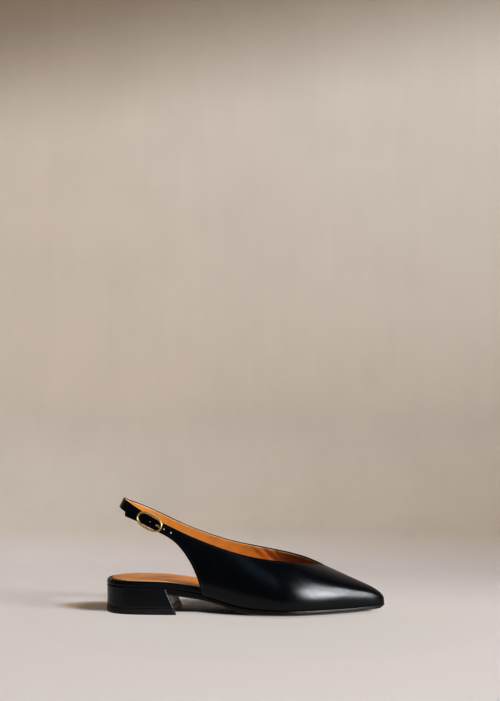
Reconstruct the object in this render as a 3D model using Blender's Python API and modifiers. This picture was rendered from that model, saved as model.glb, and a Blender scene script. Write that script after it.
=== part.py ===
"""A slingback flat for the right foot: pointed toe, low block heel, sling strap with an oval buckle.

The shoe stands on z = 0. Its toe points along +X, its outer (lateral) side faces -Y and its inner (medial)
side faces +Y. Every size here is in millimetres, with x measured forward from the back of the heel seat;
place() moves the meshes to metres with the origin under the middle of the shoe.
"""

import math
from collections import namedtuple

import bmesh
import bpy
import numpy as np
from mathutils import Matrix, Vector

MM = 0.001

# Driving sizes
LAST_LENGTH = 258.0
WALL = 2.0
GAP = 0.3
HEEL_HEIGHT = 25.0
LIFT_HEIGHT = 5.8
SOCK_THICKNESS = 1.3
STRAP_WIDTH = 9.4
STRAP_SLOPE = math.radians(26.3)

# Frame: the middle of the shoe's length, and the height where the last begins behind the heel
ORIGIN_X = 129.25
BED_INSET = WALL + GAP + 0.6
LAST_BACK = -BED_INSET

# The last, section by section: the line over the instep (spine), the sole's half-widths on each side of it,
# the widest half-widths of the wall above, and the height of the crown. Behind the instep the crown is the
# top of the ankle's form, which only sets how upright the wall stands.
Section = namedtuple("Section", "x spine sole_lateral sole_medial wall_lateral wall_medial crown")
SECTIONS = (
    Section(LAST_BACK, 0.0, 0.0, 0.0, 31.0, 31.0, 205.0),
    Section(6.0, 0.0, 20.3, 20.3, 31.0, 31.0, 203.0),
    Section(22.0, 0.0, 27.4, 27.4, 31.0, 31.0, 198.0),
    Section(45.0, 0.1, 28.8, 28.8, 31.2, 31.1, 190.0),
    Section(70.0, 0.4, 27.9, 26.9, 31.9, 31.2, 172.0),
    Section(92.0, 1.0, 27.2, 24.0, 33.2, 30.9, 146.0),
    Section(112.0, 1.9, 29.0, 22.9, 35.6, 30.4, 116.0),
    Section(131.0, 2.8, 33.4, 25.4, 38.9, 31.0, 90.0),
    Section(150.0, 3.6, 38.4, 29.3, 42.1, 32.8, 71.0),
    Section(165.0, 4.1, 40.9, 31.3, 43.4, 34.3, 61.5),
    Section(180.0, 4.6, 38.6, 31.5, 41.0, 34.5, 54.0),
    Section(200.0, 4.9, 31.5, 27.6, 33.8, 30.0, 44.2),
    Section(215.0, 5.1, 24.6, 22.6, 27.4, 24.6, 37.6),
    Section(230.0, 5.3, 17.6, 16.2, 19.9, 17.9, 31.0),
    Section(244.0, 5.4, 10.9, 10.1, 12.3, 11.4, 24.9),
    Section(253.0, 5.5, 6.1, 5.9, 7.0, 6.7, 19.6),
    Section(LAST_LENGTH, 5.5, 0.0, 0.0, 0.0, 0.0, 12.0),
)
FULLNESS = 0.32
TUCK_RISE = 8.0

# The line that the footbed sits on, the underside of the sole, how far the sole's edge lifts off the floor,
# and the thickness of the footbed
Level = namedtuple("Level", "x seat ground edge_lift bed")
LEVELS = (
    Level(0.0, HEEL_HEIGHT, 18.0, 0.0, 4.4),
    Level(45.0, 24.7, 17.8, 0.0, 4.5),
    Level(58.0, 23.9, 18.4, 0.0, 4.8),
    Level(72.0, 22.1, 16.8, 0.0, 5.2),
    Level(88.0, 19.4, 14.4, 0.0, 5.6),
    Level(100.0, 15.8, 12.0, 0.3, 5.5),
    Level(112.0, 11.9, 8.0, 0.8, 4.6),
    Level(125.0, 9.0, 3.4, 1.7, 3.4),
    Level(138.0, 7.6, 0.5, 2.4, 2.7),
    Level(150.0, 7.1, 0.0, 2.9, 2.4),
    Level(180.0, 6.9, 0.0, 3.2, 2.3),
    Level(200.0, 6.7, 0.5, 2.9, 2.2),
    Level(220.0, 6.6, 1.5, 2.3, 2.2),
    Level(240.0, 6.9, 2.9, 1.5, 2.1),
    Level(LAST_LENGTH, 8.2, 4.7, 0.8, 2.0),
)
FLAT_SHARE = 0.5

# The topline from the strap to the throat, and the back edge of each quarter
Topline = namedtuple("Topline", "x lateral medial")
TOPLINE = (
    Topline(59.0, 83.6, 82.0),
    Topline(72.0, 77.4, 76.2),
    Topline(90.0, 69.8, 69.5),
    Topline(110.0, 62.6, 63.3),
    Topline(131.0, 56.6, 58.9),
    Topline(150.0, 53.0, 55.6),
    Topline(165.0, 50.9, 53.1),
)
THROAT_POINT = 202.3
THROAT_CURVE = 4.0
QuarterEdge = namedtuple("QuarterEdge", "x z")
QUARTER_EDGE = (
    QuarterEdge(54.5, 75.4),
    QuarterEdge(64.5, 69.9),
    QuarterEdge(72.4, 62.8),
    QuarterEdge(78.9, 54.2),
    QuarterEdge(84.5, 44.4),
    QuarterEdge(88.8, 33.6),
    QuarterEdge(91.3, 24.0),
)
QUARTER_FOOT = 92.5
QUARTER_TOP = 88.0

# The sling strap: its loop lies in a plane that slopes down to the toe. On the medial side its upper edge
# runs lower, and its lower edge widens to the quarter.
STRAP_BACK = (13.45, 100.9)
STRAP_LOOP = 50.0
TAIL_STRAIGHT = 17.0
TAIL_TIP = (10.5, 6.6)
TAIL_DROP = 3.3
MEDIAL_TOP_DROP = 1.5
MEDIAL_WIDER = 3.2
HOLE_PITCH = 7.25
HOLE_RADIUS = 0.85
FIRST_HOLE = 27.2
HOLE_COUNT = 5
PRONG_HOLE = 2

# The buckle, along the strap from the middle of its back
BUCKLE_AT = 34.1
BUCKLE_LENGTH = 26.6
BUCKLE_WIDTH = 15.0
BUCKLE_WIRE = 1.0
BUCKLE_FULLNESS = 2.4
BAR_AT = 31.9
BAR_RADIUS = 0.9
PRONG_RADIUS = 0.6
EYE_LEATHER = 1.0
EYE_WIDTH = 8.2
FOLD_BACK = 14.0
FOLD_CLOSE = 6.0

# The block heel: where its front face (breast) starts, how far that slants forward, and its hollow
BREAST_TOP = 58.0
BREAST_SLANT = 10.0
BREAST_HOLLOW = 3.5
HEEL_INSET = BED_INSET
HEEL_TAPER = 0.1
CORNER = 1.2

# How far the sock stays inside the footbed's edge, and how much more at the back; the footbed's rim stands
# up round it behind the quarters
SOCK_INSET = 2.5
SOCK_BACK = 2.2
SOCK_WIDENS = 1.8
RIM_LIP = 1.0
RIM_FADES = (66.0, 86.0)

# Sole edge beyond the upper in front, and under the footbed's edge behind the quarters
SOLE_EXTENSION = 0.5
SHANK_INSET = BED_INSET - 0.3
SHANK_TO_FOREPART = (86.0, 106.0)
NOSE_REACH = 9.0

# Mesh resolution
ROWS = 8
OUTLINE_STEPS = 40
TAIL_RIBS = 12
QUARTER_RIBS = 11
SIDE_RIBS = 16
VAMP_COLUMNS = 14
LOOP_RIBS = 11
SLING_RIBS = 8
EYE_RIBS = 7
FOLD_RIBS = 4

LATERAL, MEDIAL = -1, 1
MATERIALS = {
    "black_leather": ((0.012, 0.012, 0.015), 0.28, 0.0),
    "heel_leather": ((0.014, 0.014, 0.016), 0.35, 0.0),
    "tan_leather": ((0.50, 0.23, 0.075), 0.55, 0.0),
    "sole_black": ((0.018, 0.016, 0.016), 0.5, 0.0),
    "lift_rubber": ((0.02, 0.02, 0.024), 0.6, 0.0),
    "gold_metal": ((0.83, 0.62, 0.25), 0.2, 1.0),
}


def natural_spline(xs, ys):
    """A smooth curve through the points, free of bending at its ends, as a function of x."""
    xs, ys = np.asarray(xs, float), np.asarray(ys, float)
    h = np.diff(xs)
    n = len(xs)
    system = np.eye(n)
    right = np.zeros(n)
    for i in range(1, n - 1):
        system[i, i - 1 : i + 2] = h[i - 1], 2 * (h[i - 1] + h[i]), h[i]
        right[i] = 6 * ((ys[i + 1] - ys[i]) / h[i] - (ys[i] - ys[i - 1]) / h[i - 1])
    bend = np.linalg.solve(system, right)

    def value(x):
        i = int(np.clip(np.searchsorted(xs, x) - 1, 0, n - 2))
        a, b = (xs[i + 1] - x) / h[i], (x - xs[i]) / h[i]
        curve = ((a**3 - a) * bend[i] + (b**3 - b) * bend[i + 1]) * h[i] ** 2 / 6
        return a * ys[i] + b * ys[i + 1] + curve

    return value


def round_ended(x):
    """Maps x to a parameter from 0 to 1 in which both ends of the last are round, not pointed."""
    share = np.clip((x - LAST_BACK) / (LAST_LENGTH - LAST_BACK), 0, 1)
    return math.acos(1 - 2 * share) / math.pi


def station(u):
    """The x of the parameter that round_ended gives."""
    return LAST_BACK + (LAST_LENGTH - LAST_BACK) * (1 - math.cos(math.pi * u)) / 2


def section_column(column):
    curve = natural_spline([round_ended(s.x) for s in SECTIONS], [getattr(s, column) for s in SECTIONS])
    return lambda x: curve(round_ended(x))


def table_column(table, column):
    return natural_spline([row.x for row in table], [getattr(row, column) for row in table])


spine = section_column("spine")
crown = section_column("crown")
sole_width = {LATERAL: section_column("sole_lateral"), MEDIAL: section_column("sole_medial")}
wall_width = {LATERAL: section_column("wall_lateral"), MEDIAL: section_column("wall_medial")}
seat = table_column(LEVELS, "seat")
bed_thickness = table_column(LEVELS, "bed")
edge_lift = table_column(LEVELS, "edge_lift")
ground_curve = table_column(LEVELS, "ground")
top_edge = {LATERAL: table_column(TOPLINE, "lateral"), MEDIAL: table_column(TOPLINE, "medial")}


def ground(x):
    """The underside of the sole along its middle, flat on the floor under the ball of the foot."""
    return max(ground_curve(x), 0.0)


def feather(x):
    """The height of the upper's lower edge, just above the sole."""
    return seat(x) + GAP


def smooth_step(x, start, end):
    t = min(max((x - start) / (end - start), 0.0), 1.0)
    return t * t * (3 - 2 * t)


def strap_coordinates(x, z):
    """(along, across) of a side-view point in the sloping plane of the strap's loop."""
    dx, dz = x - STRAP_BACK[0], z - STRAP_BACK[1]
    cos, sin = math.cos(STRAP_SLOPE), math.sin(STRAP_SLOPE)
    return dx * cos - dz * sin, dx * sin + dz * cos


def strap_point(along, across):
    """The side-view (x, z) of a point in the sloping plane of the strap's loop."""
    cos, sin = math.cos(STRAP_SLOPE), math.sin(STRAP_SLOPE)
    return STRAP_BACK[0] + along * cos + across * sin, STRAP_BACK[1] - along * sin + across * cos


def last_point(x, turn, side):
    """A point of the last's skin: turn runs from 0 at the sole's edge to 1 on the crown."""
    angle = turn * math.pi / 2
    cos, sin = math.cos(angle), math.sin(angle)
    low, rise = feather(x), crown(x) - feather(x)
    z = low + rise * sin
    along, _ = strap_coordinates(x, z)
    back = min(max((STRAP_LOOP - along) / STRAP_LOOP, 0.0), 1.0)
    wall, tuck = wall_width[side](x), wall_width[side](x) - sole_width[side](x)
    out = cos * (wall * (1 + FULLNESS * sin * sin) - tuck * math.exp(-rise * sin / TUCK_RISE))
    return np.array((x, spine(x) + side * out * math.sqrt(1 - back * back), z))


def turn_at(x, z):
    """The turn that reaches the height z on the section at x."""
    return math.asin(min(max((z - feather(x)) / (crown(x) - feather(x)), -1.0), 1.0)) * 2 / math.pi


def topline_turn(x, side):
    """The turn of the topline, which sweeps in from the sides to meet at the throat point."""
    start = TOPLINE[-1].x
    if x <= start:
        return turn_at(x, top_edge[side](x))
    begin = turn_at(start, top_edge[side](start))
    slope = begin - turn_at(start - 1, top_edge[side](start - 1))
    share = (x - start) / (THROAT_POINT - start)
    straight = slope * (THROAT_POINT - start)
    return begin + straight * share + (1 - begin - straight) * share**THROAT_CURVE


def rib(low, high, side):
    """Points on the last from low to high, each given as (x, turn)."""
    low, high = np.array(low), np.array(high)
    points = [low + (high - low) * share for share in np.linspace(0, 1, ROWS + 1)]
    return [last_point(x, turn, side) for x, turn in points]


def quarter_edge_curve():
    """The quarter's back edge from the strap down to the sole, as (x, z) of a share from 0 to 1."""
    rows = [(p.x, p.z) for p in QUARTER_EDGE] + [(QUARTER_FOOT, feather(QUARTER_FOOT))]
    run = np.concatenate([[0], np.cumsum([math.dist(a, b) for a, b in zip(rows, rows[1:])])])
    curve_x = natural_spline(run / run[-1], [r[0] for r in rows])
    curve_z = natural_spline(run / run[-1], [r[1] for r in rows])
    return lambda share: (curve_x(share), curve_z(share))


def strap_rib(along, side, low_drop=0.0, top_drop=0.0):
    """A rib straight across the strap, with each edge lowered by its drop."""
    x0, z0 = strap_point(along, -STRAP_WIDTH / 2 - low_drop)
    x1, z1 = strap_point(along, STRAP_WIDTH / 2 - top_drop)
    return rib((x0, turn_at(x0, z0)), (x1, turn_at(x1, z1)), side)


def quarter_ribs(side):
    """The ribs of one side from the strap to the throat point, from back to front."""
    edge = quarter_edge_curve()
    first_top = TOPLINE[0].x
    ribs = []
    for share in np.linspace(0, 1, QUARTER_RIBS + 1):
        low_x, low_z = edge(share)
        if side == MEDIAL:
            low_z -= MEDIAL_WIDER / math.cos(STRAP_SLOPE) * (1 - smooth_step(share, 0.0, 0.45))
        high_x = first_top + (QUARTER_TOP - first_top) * share
        ribs.append(rib((low_x, turn_at(low_x, low_z)), (high_x, topline_turn(high_x, side)), side))
    for share in np.linspace(0, 1, SIDE_RIBS + 1)[1:]:
        low_x = QUARTER_FOOT + (THROAT_POINT - QUARTER_FOOT) * share
        high_x = QUARTER_TOP + (THROAT_POINT - QUARTER_TOP) * share
        ribs.append(rib((low_x, 0.0), (high_x, topline_turn(high_x, side)), side))
    return ribs


def vamp_ribs(side):
    """Half sections of the vamp from behind the toe's tip, after the throat point, to the tip."""
    stations = np.linspace(round_ended(THROAT_POINT), 1, VAMP_COLUMNS + 1)[1:]
    return [rib((station(u), 0.0), (station(u), 1.0), side) for u in stations]


def tail_ribs():
    """The outer strap's end, from its tip to where the quarter takes over.

    Behind the buckle the stiff end leaves the loop along a straight line and drops a little."""
    joint = strap_coordinates(*QUARTER_EDGE[0])[0]
    ribs = []
    for share in np.linspace(0, 1, TAIL_RIBS + 1)[:-1]:
        low, high = (tip + (joint - tip) * share for tip in TAIL_TIP)
        points = []
        for row in range(ROWS + 1):
            along = low + (high - low) * row / ROWS
            drop = TAIL_DROP * max(0.0, (BUCKLE_AT - along) / (BUCKLE_AT - TAIL_TIP[1])) ** 1.5
            on_loop = max(along, TAIL_STRAIGHT)
            point = strap_rib(on_loop, LATERAL, drop, drop)[row]
            if along < TAIL_STRAIGHT:
                ahead = strap_rib(on_loop + 0.5, LATERAL, drop, drop)[row]
                point = point + (point - ahead) * (TAIL_STRAIGHT - along) / 0.5
            points.append(point)
        ribs.append(points)
    return ribs


def strap_axes():
    """Unit vectors along the strap, across it and out to the medial side."""
    cos, sin = math.cos(STRAP_SLOPE), math.sin(STRAP_SLOPE)
    return np.array((cos, 0, -sin)), np.array((sin, 0, cos)), np.array((0.0, 1.0, 0.0))


def lateral_frame(along, depth):
    """(point, direction, outward) on the lateral side of the loop, depth inside the strap's face."""
    step = 0.05
    here, ahead = (strap_rib(a, LATERAL)[ROWS // 2] for a in (along, along + step))
    forward, across, _ = strap_axes()
    direction = (ahead - here) - across * np.dot(ahead - here, across)
    direction /= np.linalg.norm(direction)
    outward = np.cross(across, direction)
    outward *= -np.sign(outward[1])
    return here - outward * depth, direction, outward


def sling_ribs():
    """The inner strap from the medial quarter round the heel to the buckle's bar and back on itself.

    It runs a wall's thickness inside the outer strap, and thins to go round the bar. Each rib comes with
    its share of the full thickness."""
    _, across, _ = strap_axes()
    inside = WALL + GAP
    joint = strap_coordinates(*QUARTER_EDGE[0])[0]
    ribs = []
    for angle in np.linspace(math.acos(1 - joint / STRAP_LOOP), 0, LOOP_RIBS + 1)[1:-1]:
        wider = MEDIAL_WIDER * smooth_step(angle, 0.5, 1.3)
        drop = MEDIAL_TOP_DROP * smooth_step(angle, 0.0, 0.5)
        ribs.append((strap_rib(STRAP_LOOP * (1 - math.cos(angle)), MEDIAL, wider, drop), 1.0))
    last_angle = math.acos(1 - BAR_AT / STRAP_LOOP)
    for angle in np.linspace(0, last_angle, SLING_RIBS + 1):
        along = STRAP_LOOP * (1 - math.cos(angle))
        shift = inside * smooth_step(angle, 0.0, last_angle / 2)
        thickness = 1 - (1 - EYE_LEATHER / WALL) * smooth_step(along, BAR_AT - FOLD_CLOSE, BAR_AT)
        outward = lateral_frame(max(along, 0.05), 0)[2]
        narrow = (STRAP_WIDTH - EYE_WIDTH) / 2 * smooth_step(along, BAR_AT - 14, BAR_AT - 4)
        points = strap_rib(along, LATERAL, -narrow, narrow)
        ribs.append(([p - outward * shift for p in points], thickness))
    eye = BAR_RADIUS + GAP + EYE_LEATHER
    centre, direction, outward = lateral_frame(BAR_AT, inside + eye)
    heights = [h * EYE_WIDTH for h in np.linspace(-0.5, 0.5, ROWS + 1)]
    for angle in np.linspace(0, math.pi, EYE_RIBS + 1)[1:]:
        middle = centre + (outward * math.cos(angle) + direction * math.sin(angle)) * eye
        ribs.append(([middle + across * h for h in heights], EYE_LEATHER / WALL))
    closed = inside + WALL + GAP + EYE_LEATHER
    for share in np.linspace(0, 1, FOLD_RIBS + 1)[1:]:
        along = BAR_AT - FOLD_BACK * share
        close = smooth_step(BAR_AT - along, 0, FOLD_CLOSE)
        depth = (inside + 2 * eye) * (1 - close) + closed * close
        middle = lateral_frame(along, depth)[0]
        ribs.append(([middle + across * h for h in heights], EYE_LEATHER / WALL))
    return ribs


def place(point):
    """From the shoe's own millimetres to metres about the origin."""
    return ((point[0] - ORIGIN_X) * MM, point[1] * MM, point[2] * MM)


def material(name):
    found = bpy.data.materials.get(name)
    if found:
        return found
    colour, roughness, metallic = MATERIALS[name]
    made = bpy.data.materials.new(name)
    made.use_nodes = True
    shader = made.node_tree.nodes["Principled BSDF"]
    shader.inputs["Base Color"].default_value = (*colour, 1.0)
    shader.inputs["Roughness"].default_value = roughness
    shader.inputs["Metallic"].default_value = metallic
    return made


def add_object(name, mesh, finish, collection):
    obj = bpy.data.objects.new(name, mesh)
    collection.objects.link(obj)
    if finish:
        mesh.materials.append(material(finish))
        mesh.shade_smooth()
        mesh.set_sharp_from_angle(angle=math.radians(40))
    return obj


def mesh_from(name, bm):
    bmesh.ops.remove_doubles(bm, verts=bm.verts, dist=1e-7)
    mesh = bpy.data.meshes.new(name)
    bm.to_mesh(mesh)
    bm.free()
    return mesh


def add_cutter(name, bm, collection):
    cutter = add_object(name, mesh_from(name, bm), None, collection)
    cutter.hide_render = True
    cutter.display_type = "WIRE"
    return cutter


def cut(obj, cutter, operation="DIFFERENCE"):
    boolean = obj.modifiers.new(cutter.name, "BOOLEAN")
    boolean.operation = operation
    boolean.object = cutter


def oriented(origin, direction, outward):
    """A 4x4 matrix in metres that puts local x along direction and local z outward."""
    third = np.cross(outward, direction)
    columns = [direction, third, outward]
    matrix = Matrix([[columns[c][r] for c in range(3)] for r in range(3)]).to_4x4()
    matrix.translation = Vector(place(origin))
    return matrix


def build_upper(parts, cutters):
    """One hollow wall: vamp, both quarters, the outer strap end and the sling, with the strap's holes."""
    bm = bmesh.new()
    thickness = bm.verts.layers.deform.new()

    def skin(ribs, turned):
        rows = []
        for points, share in ribs:
            made = [bm.verts.new(place(p)) for p in points]
            for vert in made:
                vert[thickness][0] = share
            rows.append(made)
        for back, front in zip(rows, rows[1:]):
            for j in range(ROWS):
                corners = [back[j], front[j], front[j + 1], back[j + 1]]
                bm.faces.new(corners[::-1] if turned else corners)

    lateral = tail_ribs() + quarter_ribs(LATERAL) + vamp_ribs(LATERAL)
    skin([(points, 1.0) for points in lateral], turned=False)
    medial = (quarter_ribs(MEDIAL) + vamp_ribs(MEDIAL))[::-1]
    skin([(points, 1.0) for points in medial] + sling_ribs(), turned=False)

    mesh = mesh_from("upper", bm)
    upper = add_object("upper", mesh, "black_leather", parts)
    upper.vertex_groups.new(name="thickness")
    wall = upper.modifiers.new("wall", "SOLIDIFY")
    wall.thickness = WALL * MM
    wall.offset = -1
    wall.use_even_offset = True
    wall.vertex_group = "thickness"
    wall.thickness_vertex_group = 0.0

    bm = bmesh.new()
    holes = [FIRST_HOLE + HOLE_PITCH * i for i in range(HOLE_COUNT)]
    depth = WALL + GAP
    for along in holes:
        at, direction, outward = lateral_frame(along, depth / 2 - GAP / 4)
        bmesh.ops.create_cone(
            bm,
            cap_ends=True,
            segments=10,
            radius1=HOLE_RADIUS * MM,
            radius2=HOLE_RADIUS * MM,
            depth=(depth + GAP) * MM,
            matrix=oriented(at, direction, outward),
        )
    cut(upper, add_cutter("strap_holes", bm, cutters))
    return upper


def outline(inset, steps=OUTLINE_STEPS):
    """(lateral, medial) points round the sole's edge, moved in by inset(x), from the heel to the toe."""
    us = np.linspace(0, 1, steps + 1)
    xs = [station(u) for u in us]
    sides = {s: [np.array((x, spine(x) + s * sole_width[s](x))) for x in xs] for s in (LATERAL, MEDIAL)}
    loop = sides[LATERAL] + sides[MEDIAL][-2:0:-1]
    moved = []
    for i, point in enumerate(loop):
        tangent = loop[(i + 1) % len(loop)] - loop[i - 1]
        normal = np.array((tangent[1], -tangent[0])) / np.linalg.norm(tangent)
        moved.append(point - normal * inset(point[0]))
    lateral = moved[: steps + 1]
    medial = [moved[0]] + moved[steps + 1 :][::-1] + [moved[steps]]
    return lateral, medial


def plate(name, rings, finish, parts):
    """A bent plate: each ring is (inset, height), from the top face over the edge to the underside."""
    bm = bmesh.new()
    loops = []
    for inset, height in rings:
        lateral, medial = outline(inset)
        made = []
        for points in (lateral, medial):
            made.append([bm.verts.new(place((p[0], p[1], height(p[0])))) for p in points])
        loops.append(made)
    for (lateral, medial), (next_lateral, next_medial) in zip(loops, loops[1:]):
        for i in range(OUTLINE_STEPS):
            bm.faces.new((lateral[i], next_lateral[i], next_lateral[i + 1], lateral[i + 1]))
            bm.faces.new((medial[i], medial[i + 1], next_medial[i + 1], next_medial[i]))
    for (lateral, medial), upward in ((loops[0], True), (loops[-1], False)):
        for i in range(OUTLINE_STEPS):
            corners = [lateral[i], lateral[i + 1], medial[i + 1], medial[i]]
            bm.faces.new(corners if upward else corners[::-1])
    bmesh.ops.remove_doubles(bm, verts=bm.verts, dist=1e-7)
    bmesh.ops.dissolve_degenerate(bm, edges=bm.edges, dist=1e-7)
    return add_object(name, mesh_from(name, bm), finish, parts)


def toe_fade(x):
    """Falls from 1 to 0 towards the toe, where a plate's edge has no room to be rounded."""
    return 1 - smooth_step(x, 215.0, 246.0)


def bed_bottom(x):
    return seat(x) + GAP


RimRow = namedtuple("RimRow", "inset share lip")


def build_footbed(parts):
    """The leather-wrapped board that shows as a rounded rim round the heel and lies inside the upper."""
    profile = (
        RimRow(2.8, 1.0, 0.0),
        RimRow(2.15, 1.0, 0.0),
        RimRow(1.85, 0.985, 0.75),
        RimRow(1.2, 0.94, 1.0),
        RimRow(0.35, 0.76, 0.7),
        RimRow(0.0, 0.48, 0.2),
        RimRow(0.1, 0.22, 0.0),
        RimRow(0.5, 0.06, 0.0),
        RimRow(1.2, 0.0, 0.0),
    )
    full = LEVELS[0].bed

    def ring(row):
        def inward(x):
            return BED_INSET + row.inset * min(bed_thickness(x) / full, 1.0) * toe_fade(x)

        def height(x):
            lip = RIM_LIP * (1 - smooth_step(x, *RIM_FADES))
            return bed_bottom(x) + bed_thickness(x) * row.share + lip * row.lip

        return inward, height

    return plate("footbed", [ring(row) for row in profile], "black_leather", parts)


def build_sock(parts):
    """The tan leather sock that covers the footbed."""

    def inset(x):
        back = SOCK_BACK * (1 - smooth_step(x, 0, 24))
        side = SOCK_INSET - SOCK_WIDENS * smooth_step(x, *SHANK_TO_FOREPART)
        return BED_INSET + back + side * toe_fade(x)

    def bottom(x):
        return bed_bottom(x) + bed_thickness(x) + GAP

    rings = [
        (lambda x: inset(x) + 0.6 * toe_fade(x), lambda x: bottom(x) + SOCK_THICKNESS),
        (lambda x: inset(x) + 0.1 * toe_fade(x), lambda x: bottom(x) + SOCK_THICKNESS - 0.3),
        (inset, lambda x: bottom(x) + SOCK_THICKNESS - 0.8),
        (inset, bottom),
    ]
    return plate("insole_sock", rings, "tan_leather", parts)


def breast(z, share):
    """The x of the heel's front face at a height, share from -1 to 1 across it."""
    slant = BREAST_SLANT * (HEEL_HEIGHT - z) / HEEL_HEIGHT
    return BREAST_TOP + slant - BREAST_HOLLOW * (1 - share * share)


def heel_outline(z):
    """The heel's outline at a height: round the back, along both sides and across the hollow breast."""
    inset = HEEL_INSET + HEEL_TAPER * (1 - z / HEEL_HEIGHT)
    lateral, medial = outline(lambda x: inset, steps=60)
    front = breast(z, 1.0)
    side_a = [p for p in lateral if p[0] < front - 2 * CORNER]
    side_b = [p for p in medial if p[0] < front - 2 * CORNER][1:]

    def edge_y(points, x):
        return np.interp(x, [p[0] for p in points], [p[1] for p in points])

    low, high = edge_y(lateral, front), edge_y(medial, front)
    turn = [math.radians(a) for a in (0, 30, 60, 90)]
    corner_a = [(front - CORNER + CORNER * math.sin(a), low + CORNER - CORNER * math.cos(a)) for a in turn]
    corner_b = [(front - CORNER + CORNER * math.sin(a), high - CORNER + CORNER * math.cos(a)) for a in turn]
    shares = np.linspace(-1, 1, 9)[1:-1]
    reach = (high - low) / 2 - CORNER
    front_face = [(breast(z, s), (low + high) / 2 + s * reach) for s in shares]
    whole = side_a + corner_a + front_face + corner_b[::-1] + side_b[::-1]
    return [tuple(p) for p in whole]


def heel_loft(name, levels, finish, parts):
    """A solid through heel outlines: each level is (z of the outline, inset, height of its points)."""
    bm = bmesh.new()
    loops = []
    count = None
    for z, inset, height in levels:
        points = heel_outline(z)
        if count is None:
            count = len(points)
        points = resample(points, count)
        middle = np.mean(points, axis=0)
        loop = []
        for p in points:
            inward = (middle - np.array(p)) / np.linalg.norm(middle - np.array(p))
            x, y = np.array(p) + inward * inset
            loop.append(bm.verts.new(place((x, y, height(x)))))
        loops.append(loop)
    for upper, lower in zip(loops, loops[1:]):
        for i in range(count):
            j = (i + 1) % count
            bm.faces.new((upper[i], lower[i], lower[j], upper[j]))
    bm.faces.new(loops[0])
    bm.faces.new(loops[-1][::-1])
    bmesh.ops.recalc_face_normals(bm, faces=bm.faces)
    return add_object(name, mesh_from(name, bm), finish, parts)


def resample(points, count):
    """The closed outline with a given number of points, evenly matched by their order."""
    if len(points) == count:
        return points
    at = np.linspace(0, len(points) - 1, count)
    index = np.arange(len(points))
    xs, ys = zip(*points)
    return list(zip(np.interp(at, index, xs), np.interp(at, index, ys)))


def build_heel(parts):
    """The leather-covered block and the lift that it stands on."""
    low = LIFT_HEIGHT + GAP
    heights = (HEEL_HEIGHT, HEEL_HEIGHT - 0.8, 0.5 * (HEEL_HEIGHT + low), low + 0.5, low)
    insets = (0.7, 0.0, 0.25, 0.0, 0.3)

    def level(z, inset):
        share = (z - low) / (HEEL_HEIGHT - low)
        return z, inset, lambda x: low + (seat(x) - low) * share

    heel_loft("heel_block", [level(z, i) for z, i in zip(heights, insets)], "heel_leather", parts)
    lift = ((LIFT_HEIGHT, 0.35), (LIFT_HEIGHT - 0.4, 0.0), (0.6, 0.0), (0.0, 0.6))
    heel_loft("heel_lift", [(z, i, lambda x, z=z: z) for z, i in lift], "lift_rubber", parts)


def build_outsole(parts):
    """The sole from the heel's breast to the toe, its underside curved up at the edges."""
    strips = 6
    shares = np.linspace(-1, 1, strips + 1)

    def inset(x):
        return SHANK_INSET - (SHANK_INSET + SOLE_EXTENSION) * smooth_step(x, *SHANK_TO_FOREPART)

    def level(x, share, drop):
        lift = edge_lift(x) * (max(abs(share) - FLAT_SHARE, 0) / (1 - FLAT_SHARE)) ** 2
        under = ground(x) + lift
        return under + (seat(x) - under) * drop

    lateral, medial = outline(inset, steps=80)
    xs = [p[0] for p in lateral]
    first = next(i for i, x in enumerate(xs) if x > BREAST_TOP + BREAST_SLANT)
    columns = [BREAST_TOP] + [xs[i] for i in range(first, len(xs), 2)]
    if columns[-1] != xs[-1]:
        columns.append(xs[-1])
    columns = np.array(columns)

    def width_at(points, x):
        return np.interp(x, [p[0] for p in points], [p[1] for p in points])

    bm = bmesh.new()
    edge_round = 0.5
    rings = ((1.0, edge_round, 0.4), (0.85, 0.0, 0.2), (0.2, 0.0, 1.6), (0.0, edge_round, 2.9))
    grids = []
    for drop, tuck, nose in rings:
        grid = []
        for i, column in enumerate(columns):
            row = []
            for share in shares:
                x = column
                if i == 0:
                    z_end = level(BREAST_TOP, share, drop)
                    x = breast(z_end, share) + GAP
                a, b = width_at(lateral, x), width_at(medial, x)
                reach = (b - a) / 2 - tuck * toe_fade(x)
                y = (a + b) / 2 + share * max(reach, 0)
                back = nose * smooth_step(x, xs[-1] - NOSE_REACH, xs[-1])
                row.append(bm.verts.new(place((x - back, y, level(x - back, share, drop)))))
            grid.append(row)
        grids.append(grid)
    for grid, turned in ((grids[0], False), (grids[-1], True)):
        for back, front in zip(grid, grid[1:]):
            for j in range(strips):
                corners = [back[j], front[j], front[j + 1], back[j + 1]]
                bm.faces.new(corners[::-1] if turned else corners)
    for above, below in zip(grids, grids[1:]):
        for i in range(len(columns) - 1):
            bm.faces.new((above[i][0], below[i][0], below[i + 1][0], above[i + 1][0]))
            bm.faces.new((above[i][-1], above[i + 1][-1], below[i + 1][-1], below[i][-1]))
        for j in range(strips):
            bm.faces.new((above[0][j], above[0][j + 1], below[0][j + 1], below[0][j]))
    spare = [v for v in bm.verts if not v.link_faces]
    bmesh.ops.delete(bm, geom=spare, context="VERTS")
    bmesh.ops.remove_doubles(bm, verts=bm.verts, dist=1e-7)
    bmesh.ops.dissolve_degenerate(bm, edges=bm.edges, dist=1e-7)
    return add_object("outsole", mesh_from("outsole", bm), "sole_black", parts)


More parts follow.
